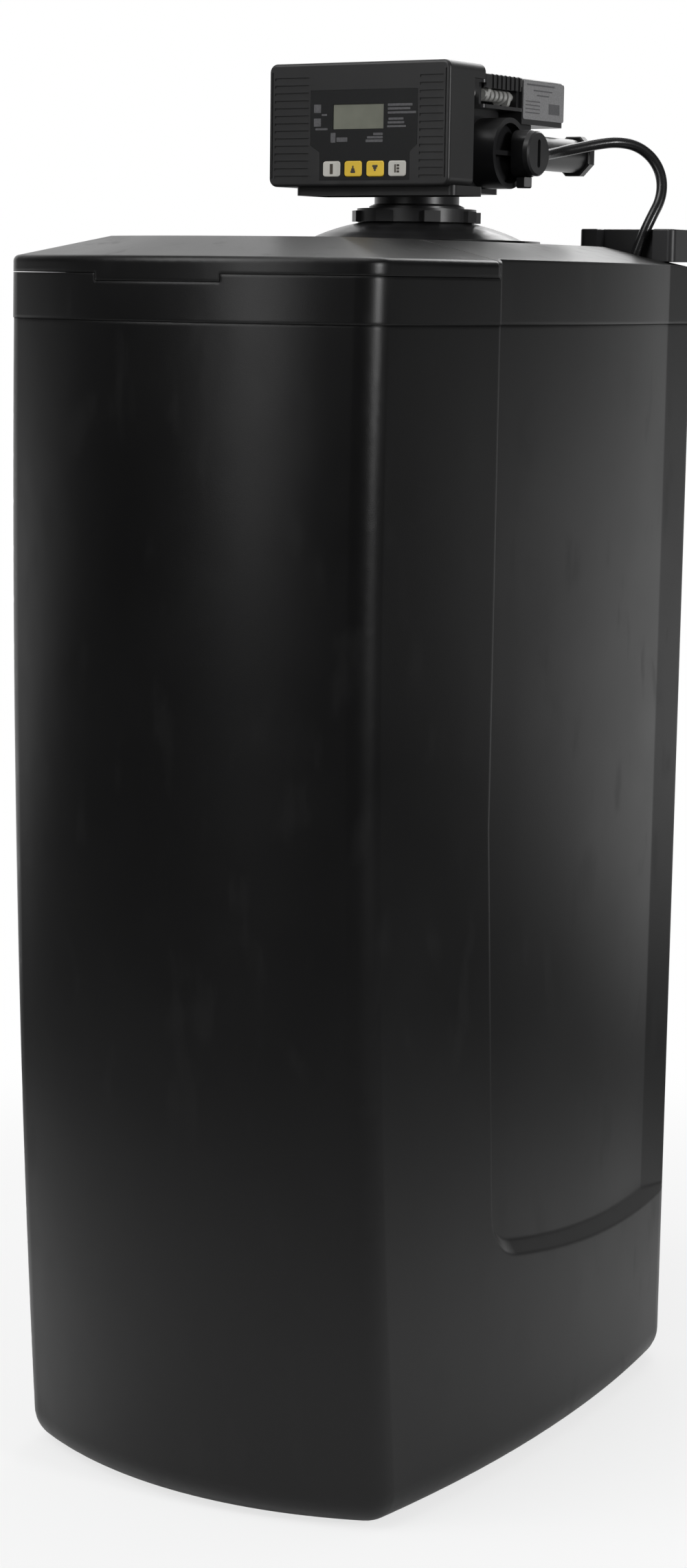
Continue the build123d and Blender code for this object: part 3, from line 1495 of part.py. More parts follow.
# Control bezel: front face with its ribbed fields, display window and key openings
face_y = behind(head_front)
board_y = face_y + bezel_thickness + board_front_gap
post_places = [(x, z) for x in (-58, 58) for z in (head_bottom + 12, head_top - 14)]
with BuildPart() as control_bezel:
    with BuildSketch(facing_front(bezel_back)):
        with Locations((0, head_middle)):
            RectangleRounded(2 * head_half_width, head_height, head_corner_radius)
    extrude(amount=bezel_depth)
    fillet(control_bezel.faces().sort_by(Axis.Y)[0].edges(), bezel_edge_radius)
    with BuildSketch(facing_front(bezel_back)):
        with Locations((0, head_middle)):
            RectangleRounded(
                2 * (head_half_width - head_wall),
                head_height - 2 * head_wall,
                head_corner_radius - head_wall,
            )
    extrude(amount=bezel_depth - bezel_thickness, mode=Mode.SUBTRACT)
    rib_fields = (
        (rib_margin - head_half_width, panel_left - rib_panel_gap),
        (panel_right + rib_panel_gap, head_half_width - rib_margin),
    )
    for left, right in rib_fields:
        field_middle = (left + right) / 2
        rib_places = [(field_middle, rib_first_height + rib_pitch * row) for row in range(rib_count)]
        with BuildSketch(facing_front(face_y)):
            with Locations(*rib_places):
                Rectangle(right - left, rib_width)
        extrude(amount=-rib_depth, mode=Mode.SUBTRACT)
    with BuildSketch(facing_front(face_y)):
        with Locations(*[(side * (head_half_width - bezel_groove_inset), head_middle) for side in (-1, 1)]):
            Rectangle(bezel_groove_width, head_height - 2 * bezel_groove_margin)
    extrude(amount=-bezel_groove_depth, mode=Mode.SUBTRACT)
    with BuildSketch(facing_front(face_y)):
        with BuildLine():
            Polyline(
                (panel_left, panel_top),
                (panel_right, panel_top),
                (panel_right, panel_step_height),
                (panel_step_right, panel_step_height - panel_step_slant),
                (panel_step_right, panel_bottom),
                (panel_step_left, panel_bottom),
                (panel_step_left, panel_step_height - panel_step_slant),
                (panel_left, panel_step_height),
                close=True,
            )
        make_face()
    extrude(amount=-panel_thickness, mode=Mode.SUBTRACT)
    with BuildSketch(facing_front(face_y)):
        with Locations(((display_left + display_right) / 2, (display_bottom + display_top) / 2)):
            Rectangle(
                display_right - display_left + 2 * display_gap,
                display_top - display_bottom + 2 * display_gap,
            )
        with Locations(*[(centre, key_middle_height) for centre in key_centres]):
            RectangleRounded(key_width + 2 * key_gap, key_height + 2 * key_gap, key_corner_radius)
    extrude(amount=-bezel_thickness, mode=Mode.SUBTRACT)
    with BuildSketch(facing_front(face_y + bezel_thickness)):
        with Locations(*post_places):
            Circle(3)
    extrude(amount=-board_front_gap)
control_bezel.part.label = "control_bezel"
export_step(control_bezel.part, "parts/control_bezel.step")

# Display panel: thin overlay with windows for the display and the keys
with BuildPart() as display_panel:
    with BuildSketch(facing_front(face_y + panel_thickness)):
        with BuildLine():
            Polyline(
                (panel_left + 0.2, panel_top - 0.2),
                (panel_right - 0.2, panel_top - 0.2),
                (panel_right - 0.2, panel_step_height),
                (panel_step_right - 0.2, panel_step_height - panel_step_slant),
                (panel_step_right - 0.2, panel_bottom + 0.2),
                (panel_step_left + 0.2, panel_bottom + 0.2),
                (panel_step_left + 0.2, panel_step_height - panel_step_slant),
                (panel_left + 0.2, panel_step_height),
                close=True,
            )
        make_face()
        with Locations(((display_left + display_right) / 2, (display_bottom + display_top) / 2)):
            Rectangle(
                display_right - display_left + 2 * display_gap,
                display_top - display_bottom + 2 * display_gap,
                mode=Mode.SUBTRACT,
            )
        with Locations(*[(centre, key_middle_height) for centre in key_centres]):
            RectangleRounded(
                key_width + 2 * key_gap, key_height + 2 * key_gap, key_corner_radius, mode=Mode.SUBTRACT
            )
    extrude(amount=panel_thickness)
display_panel.part.label = "display_panel"
export_step(display_panel.part, "parts/display_panel.step")

with BuildPart() as display_screen:
    with BuildSketch(facing_front(face_y + bezel_thickness)):
        with Locations(((display_left + display_right) / 2, (display_bottom + display_top) / 2)):
            Rectangle(display_right - display_left, display_top - display_bottom)
    extrude(amount=bezel_thickness - panel_thickness)
    with BuildSketch(facing_front(face_y + bezel_thickness + 2)):
        with Locations(((display_left + display_right) / 2, (display_bottom + display_top) / 2)):
            Rectangle(display_right - display_left + 6, display_top - display_bottom + 6)
    extrude(amount=2)
display_screen.part.label = "display_screen"
export_step(display_screen.part, "parts/display_screen.step")

with BuildPart() as circuit_board:
    with BuildSketch(facing_front(board_y + board_thickness)):
        with Locations((0, head_middle)):
            Rectangle(124, head_height - 16)
    extrude(amount=board_thickness)
circuit_board.part.label = "circuit_board"
export_step(circuit_board.part, "parts/circuit_board.step")

# Keys: each slides in its opening, kept by a flange behind the bezel
for number, centre in enumerate(key_centres):
    with BuildPart() as key:
        with BuildSketch(facing_front(face_y + bezel_thickness + fit_gap)):
            with Locations((centre, key_middle_height)):
                RectangleRounded(key_width, key_height, key_corner_radius)
        extrude(amount=bezel_thickness + fit_gap + key_proud)
        fillet(key.faces().sort_by(Axis.Y)[0].edges(), 0.8)
        with BuildSketch(facing_front(face_y + bezel_thickness + fit_gap + key_flange_thickness)):
            with Locations((centre, key_middle_height)):
                Rectangle(key_width + 2 * key_flange, key_height + 2 * key_flange)
        extrude(amount=key_flange_thickness)
        with BuildSketch(facing_front(board_y - key_travel - fit_gap)):
            with Locations((centre, key_middle_height)):
                Circle(2.5)
        extrude(amount=board_front_gap - key_travel - 2 * fit_gap - key_flange_thickness)
    key.part.label = f"key_{number + 1}"
    export_step(key.part, f"parts/key_{number + 1}.step")
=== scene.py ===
"""Photoreal looks for the cabinet water softener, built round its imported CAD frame."""

import logging
import math
from dataclasses import dataclass, replace
from enum import Enum
from typing import ClassVar, Iterable, Sequence, Union

import bpy
from mathutils import Matrix, Vector


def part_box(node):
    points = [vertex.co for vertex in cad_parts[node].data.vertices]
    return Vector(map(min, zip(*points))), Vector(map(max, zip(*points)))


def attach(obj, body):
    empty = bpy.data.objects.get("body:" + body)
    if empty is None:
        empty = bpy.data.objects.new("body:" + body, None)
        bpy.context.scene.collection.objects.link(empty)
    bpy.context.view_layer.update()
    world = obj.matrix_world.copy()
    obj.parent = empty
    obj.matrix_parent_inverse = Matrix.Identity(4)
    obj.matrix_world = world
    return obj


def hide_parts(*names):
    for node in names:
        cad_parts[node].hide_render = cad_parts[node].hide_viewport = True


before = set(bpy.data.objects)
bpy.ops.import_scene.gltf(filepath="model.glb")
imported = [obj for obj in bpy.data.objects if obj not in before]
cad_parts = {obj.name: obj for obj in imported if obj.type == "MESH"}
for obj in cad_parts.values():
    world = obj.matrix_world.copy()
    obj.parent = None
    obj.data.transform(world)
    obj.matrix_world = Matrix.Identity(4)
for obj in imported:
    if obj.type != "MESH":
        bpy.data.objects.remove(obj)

LOG = logging.getLogger("softener")
MM = 0.001
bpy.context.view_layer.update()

Point = tuple[float, float, float]
Colour = tuple[float, float, float]
Band = tuple[float, float]
Edges = tuple[float, float, float, float]

WHITE: Colour = (1.0, 1.0, 1.0)


class Grain(Enum):
    """How coarse a moulded surface is: grains per metre and their height in metres."""

    POLISHED = (2600.0, 0.00001)
    FINE = (1900.0, 0.00003)
    SATIN = (1200.0, 0.00005)
    PEBBLED = (700.0, 0.00008)


class Spread(Enum):
    """Which way a fine line pattern runs, as its factor on each axis."""

    ALONG_X = (1.0, 60.0, 60.0)
    ALONG_Y = (60.0, 1.0, 60.0)


@dataclass(frozen=True)
class Pattern:
    """Fractal noise: features per metre, octaves, a factor on each axis and a shift of its own."""

    scale: float
    detail: float = 3.0
    stretch: Point = (1.0, 1.0, 1.0)
    seed: float = 0.0


class Signal:
    """A value in a shader: arithmetic on it adds the Math nodes it needs."""

    def __init__(self, shader: "Nodes", socket: bpy.types.NodeSocket) -> None:
        """Keeps the nodes and the socket that the value comes from."""
        self.shader = shader
        self.socket = socket

    def maths(self, operation: str, first: "Value", second: "Value" = 0.0) -> "Signal":
        """Adds one Math node on two values and gives its result."""
        node = self.shader.node("ShaderNodeMath", {"operation": operation}, {0: first, 1: second})
        return Signal(self.shader, node.outputs[0])

    def __add__(self, other: "Value") -> "Signal":
        """Sum."""
        return self.maths("ADD", self, other)

    def __radd__(self, other: "Value") -> "Signal":
        """Sum, reflected."""
        return self.maths("ADD", other, self)

    def __sub__(self, other: "Value") -> "Signal":
        """Difference."""
        return self.maths("SUBTRACT", self, other)

    def __rsub__(self, other: "Value") -> "Signal":
        """Difference, reflected."""
        return self.maths("SUBTRACT", other, self)

    def __mul__(self, other: "Value") -> "Signal":
        """Product."""
        return self.maths("MULTIPLY", self, other)

    def __rmul__(self, other: "Value") -> "Signal":
        """Product, reflected."""
        return self.maths("MULTIPLY", other, self)

    def __truediv__(self, other: "Value") -> "Signal":
        """Quotient."""
        return self.maths("DIVIDE", self, other)

    def __rtruediv__(self, other: "Value") -> "Signal":
        """Quotient, reflected."""
        return self.maths("DIVIDE", other, self)

    def __pow__(self, other: "Value") -> "Signal":
        """Power."""
        return self.maths("POWER", self, other)

    def __rpow__(self, other: "Value") -> "Signal":
        """Power, reflected."""
        return self.maths("POWER", other, self)

    def sine(self) -> "Signal":
        """Sine of the value in radians."""
        return self.maths("SINE", self)

    def turn_from(self, other: "Signal") -> "Signal":
        """Angle whose tangent is this value over the other."""
        return self.maths("ARCTAN2", self, other)

    def most(self, other: "Value") -> "Signal":
        """The greater of the two."""
        return self.maths("MAXIMUM", self, other)

    def size(self) -> "Signal":
        """The value without its sign."""
        return self.maths("ABSOLUTE", self)

    def between(self, low: float, high: float) -> "Signal":
        """Maps low to high smoothly onto 0 to 1, clamped.

        Args:
            low: The value that becomes 0.
            high: The value that becomes 1.

        Returns:
            The mapped value.
        """
        node = self.shader.node(
            "ShaderNodeMapRange",
            {"interpolation_type": "SMOOTHSTEP"},
            {"Value": self, "From Min": low, "From Max": high},
        )
        return Signal(self.shader, node.outputs[0])


Value = Union[Signal, float]


class Nodes:
    """A node tree, emptied and ready to be filled."""

    def __init__(self, holder: Union[bpy.types.Material, bpy.types.World]) -> None:
        """Empties the tree.

        Args:
            holder: The material or world that the tree belongs to.
        """
        holder.use_nodes = True
        self.tree = holder.node_tree
        self.tree.nodes.clear()

    def node(self, kind: str, settings: dict, inputs: dict) -> bpy.types.Node:
        """Adds a node.

        Args:
            kind: The node's type.
            settings: Its properties, set before its inputs.
            inputs: Values, sockets or signals by input name or index.

        Returns:
            The new node.
        """
        node = self.tree.nodes.new(kind)
        for name, value in settings.items():
            setattr(node, name, value)
        for name, value in inputs.items():
            self.feed(node, name, value)
        return node

    def feed(self, node: bpy.types.Node, name: Union[str, int], value: object) -> None:
        """Sets or links one input of a node.

        Args:
            node: The node.
            name: The input's name or index.
            value: A plain value, a socket or a signal.
        """
        socket = node.inputs[name]
        if isinstance(value, Signal):
            self.tree.links.new(value.socket, socket)
        elif isinstance(value, bpy.types.NodeSocket):
            self.tree.links.new(value, socket)
        else:
            socket.default_value = value

    def rays(self) -> dict[str, Signal]:
        """Which kind of ray asks.

        Returns:
            A signal for each kind, 1 for that kind of ray.
        """
        path = self.node("ShaderNodeLightPath", {}, {})
        kinds = ("Camera", "Glossy", "Transmission")
        return {kind: Signal(self, path.outputs[f"Is {kind} Ray"]) for kind in kinds}


class Shader(Nodes):
    """One material's node tree with a Principled shader at its end."""

    UPWARDS: Band = (0.2, 1.0)
    RIM_SAMPLES: int = 6
    MIX_COLOURS: tuple[int, int] = (6, 7)
    MIXED_COLOUR: int = 2

    def __init__(self, name: str) -> None:
        """Makes the material and its closing nodes.

        Args:
            name: The material's name.
        """
        self.material = bpy.data.materials.new(name)
        super().__init__(self.material)
        self.surface = self.node("ShaderNodeBsdfPrincipled", {}, {})
        self.output = self.node("ShaderNodeOutputMaterial", {}, {"Surface": self.surface.outputs[0]})
        self.place = self.node("ShaderNodeTexCoord", {}, {}).outputs["Object"]

    def axes(self, centre: Point = (0.0, 0.0, 0.0)) -> tuple[Signal, Signal, Signal]:
        """Splits the object's coordinates, measured from a point.

        Args:
            centre: The point that counts as the origin.

        Returns:
            The three coordinates.
        """
        moved = self.node("ShaderNodeVectorMath", {"operation": "SUBTRACT"}, {0: self.place, 1: centre})
        parts = self.node("ShaderNodeSeparateXYZ", {}, {0: moved.outputs[0]})
        return tuple(Signal(self, parts.outputs[axis]) for axis in range(3))

    def noise(self, pattern: Pattern) -> Signal:
        """Fractal noise over the object.

        Args:
            pattern: The noise's figures.

        Returns:
            The noise, about 0 to 1.
        """
        mapped = self.node(
            "ShaderNodeMapping",
            {},
            {"Vector": self.place, "Location": (pattern.seed,) * 3, "Scale": pattern.stretch},
        )
        node = self.node(
            "ShaderNodeTexNoise",
            {},
            {"Vector": mapped.outputs[0], "Scale": pattern.scale, "Detail": pattern.detail},
        )
        return Signal(self, node.outputs[0])

    def cells(self, scale: float) -> Signal:
        """Distance to the nearest middle in a pattern of so many cells per metre."""
        node = self.node("ShaderNodeTexVoronoi", {"feature": "F1"}, {"Vector": self.place, "Scale": scale})
        return Signal(self, node.outputs["Distance"])

    def facing_up(self) -> Signal:
        """How far the surface faces upwards.

        Returns:
            0 on an upright or hanging face, up to 1 on a level one.
        """
        geometry = self.node("ShaderNodeNewGeometry", {}, {})
        parts = self.node("ShaderNodeSeparateXYZ", {}, {0: geometry.outputs["Normal"]})
        return Signal(self, parts.outputs["Z"]).between(*self.UPWARDS)

    def mix(self, factor: Value, first: object, second: object) -> bpy.types.NodeSocket:
        """Mixes two colours.

        Args:
            factor: Share of the second.
            first: A colour or a socket.
            second: A colour or a socket.

        Returns:
            The mixed colour's socket.
        """
        colours = [(*c, 1.0) if isinstance(c, tuple) else c for c in (first, second)]
        inputs = {0: factor, **dict(zip(self.MIX_COLOURS, colours))}
        return self.node("ShaderNodeMix", {"data_type": "RGBA"}, inputs).outputs[self.MIXED_COLOUR]

    def bump(self, *layers: tuple[Signal, float], rim: float = 0.0) -> None:
        """Feeds the surface's normal with bump layers.

        Args:
            layers: Heights with their depth in metres, coarse to fine.
            rim: Radius by which sharp edges look rounded, in metres.
        """
        normal = None
        if rim:
            normal = self.node("ShaderNodeBevel", {"samples": self.RIM_SAMPLES}, {"Radius": rim}).outputs[0]
        for height, depth in layers:
            inputs = {"Height": height, "Distance": depth, "Strength": 1.0}
            if normal is not None:
                inputs["Normal"] = normal
            normal = self.node("ShaderNodeBump", {}, inputs).outputs[0]
        self.feed(self.surface, "Normal", normal)

    def set(self, **inputs: object) -> None:
        """Sets the surface's inputs.

        Args:
            inputs: Values by input name, with underscores for its spaces.
        """
        for name, value in inputs.items():
            if isinstance(value, tuple) and len(value) == 3:
                value = (*value, 1.0)
            self.feed(self.surface, name.replace("_", " "), value)


@dataclass(frozen=True)
class Finish:
    """A named material round one base colour."""

    name: str
    colour: Colour

    def tint(self, factor: float, lift: float = 0.0) -> Colour:
        """The base colour times a factor and lifted, no brighter than white."""
        return tuple(min(1.0, channel * factor + lift) for channel in self.colour)


@dataclass(frozen=True)
class Moulded(Finish):
    """Moulded plastic: grain, slow waves of the mould, flow marks, dust and rubbed patches."""

    roughness: float
    grain: Grain
    wave: float = 0.0
    dust: float = 0.0
    rubbed: float = 0.5
    specular: float = 0.5
    rim: float = 0.0

    GRAIN_OCTAVES: ClassVar[float] = 2.0
    FLOW: ClassVar[Pattern] = Pattern(9.0, 4.0, seed=3.0)
    FLOW_BAND: ClassVar[Band] = (0.3, 0.7)
    FLOW_TINT: ClassVar[float] = 0.82
    FLOW_ROUGHNESS: ClassVar[float] = 0.12
    SCUFF: ClassVar[Pattern] = Pattern(38.0, 6.0, (1.0, 1.0, 0.35), 7.0)
    SCUFF_BAND: ClassVar[Band] = (0.56, 0.72)
    SCUFF_TINT: ClassVar[tuple[float, float]] = (1.5, 0.006)
    SCUFF_SHARE: ClassVar[float] = 0.35
    SCUFF_ROUGHNESS: ClassVar[float] = 0.14
    SPECKS: ClassVar[Pattern] = Pattern(420.0, 5.0, seed=11.0)
    SPECK_BAND: ClassVar[Band] = (0.45, 0.75)
    SPECK_SHARE: ClassVar[float] = 0.7
    FILM_SHARE: ClassVar[float] = 0.3
    DUST_COLOUR: ClassVar[Colour] = (0.34, 0.33, 0.31)
    MOULD_WAVES: ClassVar[Pattern] = Pattern(7.0, 2.0, (1.0, 1.0, 0.5), 5.0)

    def build(self) -> bpy.types.Material:
        """Makes the material.

        Returns:
            The finished material.
        """
        shader = Shader(self.name)
        scale, height = self.grain.value
        grain = shader.noise(Pattern(scale, self.GRAIN_OCTAVES))
        flow = shader.noise(self.FLOW)
        scuff = shader.noise(self.SCUFF).between(*self.SCUFF_BAND)
        tone = shader.mix(flow.between(*self.FLOW_BAND), self.tint(self.FLOW_TINT), self.colour)
        tone = shader.mix(scuff * (self.SCUFF_SHARE * self.rubbed), tone, self.tint(*self.SCUFF_TINT))
        if self.dust:
            specks = shader.noise(self.SPECKS).between(*self.SPECK_BAND)
            settled = shader.facing_up() * (specks * self.SPECK_SHARE + self.FILM_SHARE) * self.dust
            tone = shader.mix(settled, tone, self.DUST_COLOUR)
        base = self.roughness - self.FLOW_ROUGHNESS / 2
        shader.set(
            Base_Color=tone,
            Roughness=flow * self.FLOW_ROUGHNESS + (scuff * (self.SCUFF_ROUGHNESS * self.rubbed) + base),
            Specular_IOR_Level=self.specular,
        )
        layers = [(grain, height)]
        if self.wave:
            layers.insert(0, (shader.noise(self.MOULD_WAVES), self.wave))
        shader.bump(*layers, rim=self.rim)
        return shader.material


@dataclass(frozen=True)
class WoundVessel(Finish):
    """Glass fibre wound round a liner and set in black resin."""

    axis: Point
    pitch: float = 0.011

    WINDS: ClassVar[float] = 9.0
    WIND_DEPTH: ClassVar[float] = 0.00035
    WIND_TINT: ClassVar[float] = 2.2
    WIND_SHARE: ClassVar[float] = 0.5
    STRANDS: ClassVar[Pattern] = Pattern(900.0, 3.0, (1.0, 1.0, 4.0))
    STRAND_DEPTH: ClassVar[float] = 0.00005
    STRAND_ROUGHNESS: ClassVar[float] = 0.12
    RESIN: ClassVar[Pattern] = Pattern(14.0, 3.0, seed=2.0)
    RESIN_ROUGHNESS: ClassVar[float] = 0.18
    BASE_ROUGHNESS: ClassVar[float] = 0.2

    def build(self) -> bpy.types.Material:
        """Makes the material.

        Returns:
            The finished material.
        """
        shader = Shader(self.name)
        x, y, z = shader.axes(self.axis)
        turn = y.turn_from(x)
        climb = z * (2 * math.pi / self.pitch)
        left = (climb + turn * self.WINDS).sine()
        right = (climb - turn * self.WINDS).sine()
        crossing = (left * right) * 0.5 + 0.5
        strands = shader.noise(self.STRANDS)
        resin = shader.noise(self.RESIN)
        fine = strands * self.STRAND_ROUGHNESS + self.BASE_ROUGHNESS
        shader.set(
            Base_Color=shader.mix(crossing * self.WIND_SHARE, self.colour, self.tint(self.WIND_TINT)),
            Roughness=resin * self.RESIN_ROUGHNESS + fine,
            Coat_Weight=0.25,
            Coat_Roughness=0.15,
            Specular_IOR_Level=0.4,
        )
        shader.bump((crossing, self.WIND_DEPTH), (strands, self.STRAND_DEPTH))
        return shader.material


@dataclass(frozen=True)
class Metal(Finish):
    """Drawn, plated or brushed metal with fine lines along one axis."""

    roughness: float
    lines: Spread

    LINE_SCALE: ClassVar[float] = 70.0
    LINE_OCTAVES: ClassVar[float] = 5.0
    LINE_DEPTH: ClassVar[float] = 0.00002
    LINE_ROUGHNESS: ClassVar[float] = 0.16
    STAIN: ClassVar[Pattern] = Pattern(60.0, 4.0, seed=4.0)
    STAIN_BAND: ClassVar[Band] = (0.5, 0.8)
    STAIN_TINT: ClassVar[float] = 0.6
    STAIN_SHARE: ClassVar[float] = 0.5
    STAIN_ROUGHNESS: ClassVar[float] = 0.14

    def build(self) -> bpy.types.Material:
        """Makes the material.

        Returns:
            The finished material.
        """
        shader = Shader(self.name)
        lines = shader.noise(Pattern(self.LINE_SCALE, self.LINE_OCTAVES, self.lines.value))
        stain = shader.noise(self.STAIN).between(*self.STAIN_BAND)
        base = self.roughness - self.LINE_ROUGHNESS / 2
        shader.set(
            Base_Color=shader.mix(stain * self.STAIN_SHARE, self.colour, self.tint(self.STAIN_TINT)),
            Metallic=1.0,
            Roughness=lines * self.LINE_ROUGHNESS + (stain * self.STAIN_ROUGHNESS + base),
        )
        shader.bump((lines, self.LINE_DEPTH))
        return shader.material


@dataclass(frozen=True)
class Beads(Finish):
    """Fine resin beads packed together, with painted shade darkening the gaps between them."""

    per_metre: float

    BEAD_BAND: ClassVar[Band] = (0.3, 0.9)
    BEAD_DEPTH: ClassVar[float] = 0.0004
    # Share of the bead colour kept in the painted shade of the gaps.
    PAINTED_GAP_SHADE: ClassVar[float] = 0.45
    WET: ClassVar[Pattern] = Pattern(120.0, 3.0)
    WET_ROUGHNESS: ClassVar[float] = 0.2
    BASE_ROUGHNESS: ClassVar[float] = 0.25

    def build(self) -> bpy.types.Material:
        """Makes the material.

        Returns:
            The finished material.
        """
        shader = Shader(self.name)
        gaps = shader.cells(self.per_metre)
        wet = shader.noise(self.WET)
        beads = (1.0 - gaps).between(*self.BEAD_BAND)
        shader.set(
            # Painted shade: the gaps between the beads are darker than the beads.
            Base_Color=shader.mix(beads, self.tint(self.PAINTED_GAP_SHADE), self.colour),
            Roughness=wet * self.WET_ROUGHNESS + self.BASE_ROUGHNESS,
            Specular_IOR_Level=0.5,
        )
        shader.bump((1.0 - gaps, self.BEAD_DEPTH))
        return shader.material


@dataclass(frozen=True)
class LiquidCrystal(Finish):
    """The head's display window: a grey-green cell behind a clear lens, switched off."""

    centre: Point
    half_width: float = 0.0275
    half_height: float = 0.013

    SIDE_BAND: ClassVar[Band] = (0.82, 1.0)
    EDGE_BAND: ClassVar[Band] = (0.7, 1.0)
    RIM_TINT: ClassVar[float] = 0.55
    RIM_SHARE: ClassVar[float] = 0.45
    CELL: ClassVar[Pattern] = Pattern(60.0, 2.0)
    CELL_BAND: ClassVar[Band] = (0.35, 0.65)
    CELL_TINT: ClassVar[float] = 1.12
    CELL_ROUGHNESS: ClassVar[float] = 0.06
    BASE_ROUGHNESS: ClassVar[float] = 0.32
    LENS: ClassVar[Pattern] = Pattern(1500.0, 2.0)
    LENS_DEPTH: ClassVar[float] = 0.00001

    def build(self) -> bpy.types.Material:
        """Makes the material.

        Returns:
            The finished material.
        """
        shader = Shader(self.name)
        x, _, z = shader.axes(self.centre)
        side = (x.size() / self.half_width).between(*self.SIDE_BAND)
        rim = side + (z.size() / self.half_height).between(*self.EDGE_BAND)
        cell = shader.noise(self.CELL)
        tone = shader.mix(cell.between(*self.CELL_BAND), self.colour, self.tint(self.CELL_TINT))
        shader.set(
            Base_Color=shader.mix(rim * self.RIM_SHARE, tone, self.tint(self.RIM_TINT)),
            Roughness=cell * self.CELL_ROUGHNESS + self.BASE_ROUGHNESS,
            Specular_IOR_Level=0.3,
        )
        shader.bump((shader.noise(self.LENS), self.LENS_DEPTH))
        return shader.material


@dataclass(frozen=True)
class Board(Finish):
    """A printed board: solder mask over copper tracks, with bright pads."""

    TRACK_SLANT: ClassVar[tuple[float, float]] = (1400.0, 300.0)
    TRACK_RISE: ClassVar[float] = 1100.0
    TRACK_BAND: ClassVar[Band] = (0.1, 0.3)
    TRACK_TINT: ClassVar[float] = 1.8
    PADS_PER_METRE: ClassVar[float] = 260.0
    PAD_BAND: ClassVar[Band] = (0.12, 0.2)
    PAD_COLOUR: ClassVar[Colour] = (0.62, 0.6, 0.55)
    PAD_METAL: ClassVar[float] = 0.9
    PAD_POLISH: ClassVar[float] = 0.12
    BASE_ROUGHNESS: ClassVar[float] = 0.42
    RELIEF: ClassVar[float] = 0.00003

    def build(self) -> bpy.types.Material:
        """Makes the material.

        Returns:
            The finished material.
        """
        shader = Shader(self.name)
        x, _, z = shader.axes()
        across, up = self.TRACK_SLANT
        slant = (x * across + z * up).sine()
        tracks = (slant * (z * self.TRACK_RISE).sine()).between(*self.TRACK_BAND)
        pads = 1.0 - shader.cells(self.PADS_PER_METRE).between(*self.PAD_BAND)
        tone = shader.mix(tracks, self.colour, self.tint(self.TRACK_TINT))
        shader.set(
            Base_Color=shader.mix(pads, tone, self.PAD_COLOUR),
            Metallic=pads * self.PAD_METAL,
            Roughness=self.BASE_ROUGHNESS - pads * self.PAD_POLISH,
        )
        shader.bump((tracks + pads, self.RELIEF))
        return shader.material


@dataclass(frozen=True)
class Tubing(Finish):
    """Extruded polyethylene tube: a slow cloudiness with a fine grain over it."""

    CLOUD: ClassVar[Pattern] = Pattern(45.0, 4.0)
    CLOUD_BAND: ClassVar[Band] = (0.35, 0.75)
    CLOUD_TINT: ClassVar[float] = 1.7
    CLOUD_SHARE: ClassVar[float] = 0.6
    CLOUD_ROUGHNESS: ClassVar[float] = 0.14
    CLOUD_DEPTH: ClassVar[float] = 0.0001
    FINE: ClassVar[Pattern] = Pattern(900.0, 3.0, seed=6.0)
    FINE_ROUGHNESS: ClassVar[float] = 0.08
    FINE_DEPTH: ClassVar[float] = 0.00002
    BASE_ROUGHNESS: ClassVar[float] = 0.16

    def build(self) -> bpy.types.Material:
        """Makes the material.

        Returns:
            The finished material.
        """
        shader = Shader(self.name)
        cloud = shader.noise(self.CLOUD)
        fine = shader.noise(self.FINE)
        share = cloud.between(*self.CLOUD_BAND) * self.CLOUD_SHARE
        grain = fine * self.FINE_ROUGHNESS + self.BASE_ROUGHNESS
        shader.set(
            Base_Color=shader.mix(share, self.colour, self.tint(self.CLOUD_TINT)),
            Roughness=cloud * self.CLOUD_ROUGHNESS + grain,
            Specular_IOR_Level=0.5,
        )
        shader.bump((cloud, self.CLOUD_DEPTH), (fine, self.FINE_DEPTH))
        return shader.material


@dataclass(frozen=True)
class PrintedInk(Finish):
    """Flat screen-printed ink with a slight mottle."""

    roughness: float = 0.45

    MOTTLE: ClassVar[Pattern] = Pattern(700.0, 3.0)
    MOTTLE_BAND: ClassVar[Band] = (0.35, 0.6)
    MOTTLE_ROUGHNESS: ClassVar[float] = 0.1
    MOTTLE_DEPTH: ClassVar[float] = 0.000008
    THIN_TINT: ClassVar[float] = 0.8

    def build(self) -> bpy.types.Material:
        """Makes the material.

        Returns:
            The finished material.
        """
        shader = Shader(self.name)
        mottle = shader.noise(self.MOTTLE)
        shader.set(
            Base_Color=shader.mix(mottle.between(*self.MOTTLE_BAND), self.tint(self.THIN_TINT), self.colour),
            Roughness=mottle * self.MOTTLE_ROUGHNESS + (self.roughness - self.MOTTLE_ROUGHNESS / 2),
            Specular_IOR_Level=0.35,
        )
        shader.bump((mottle, self.MOTTLE_DEPTH))
        return shader.material


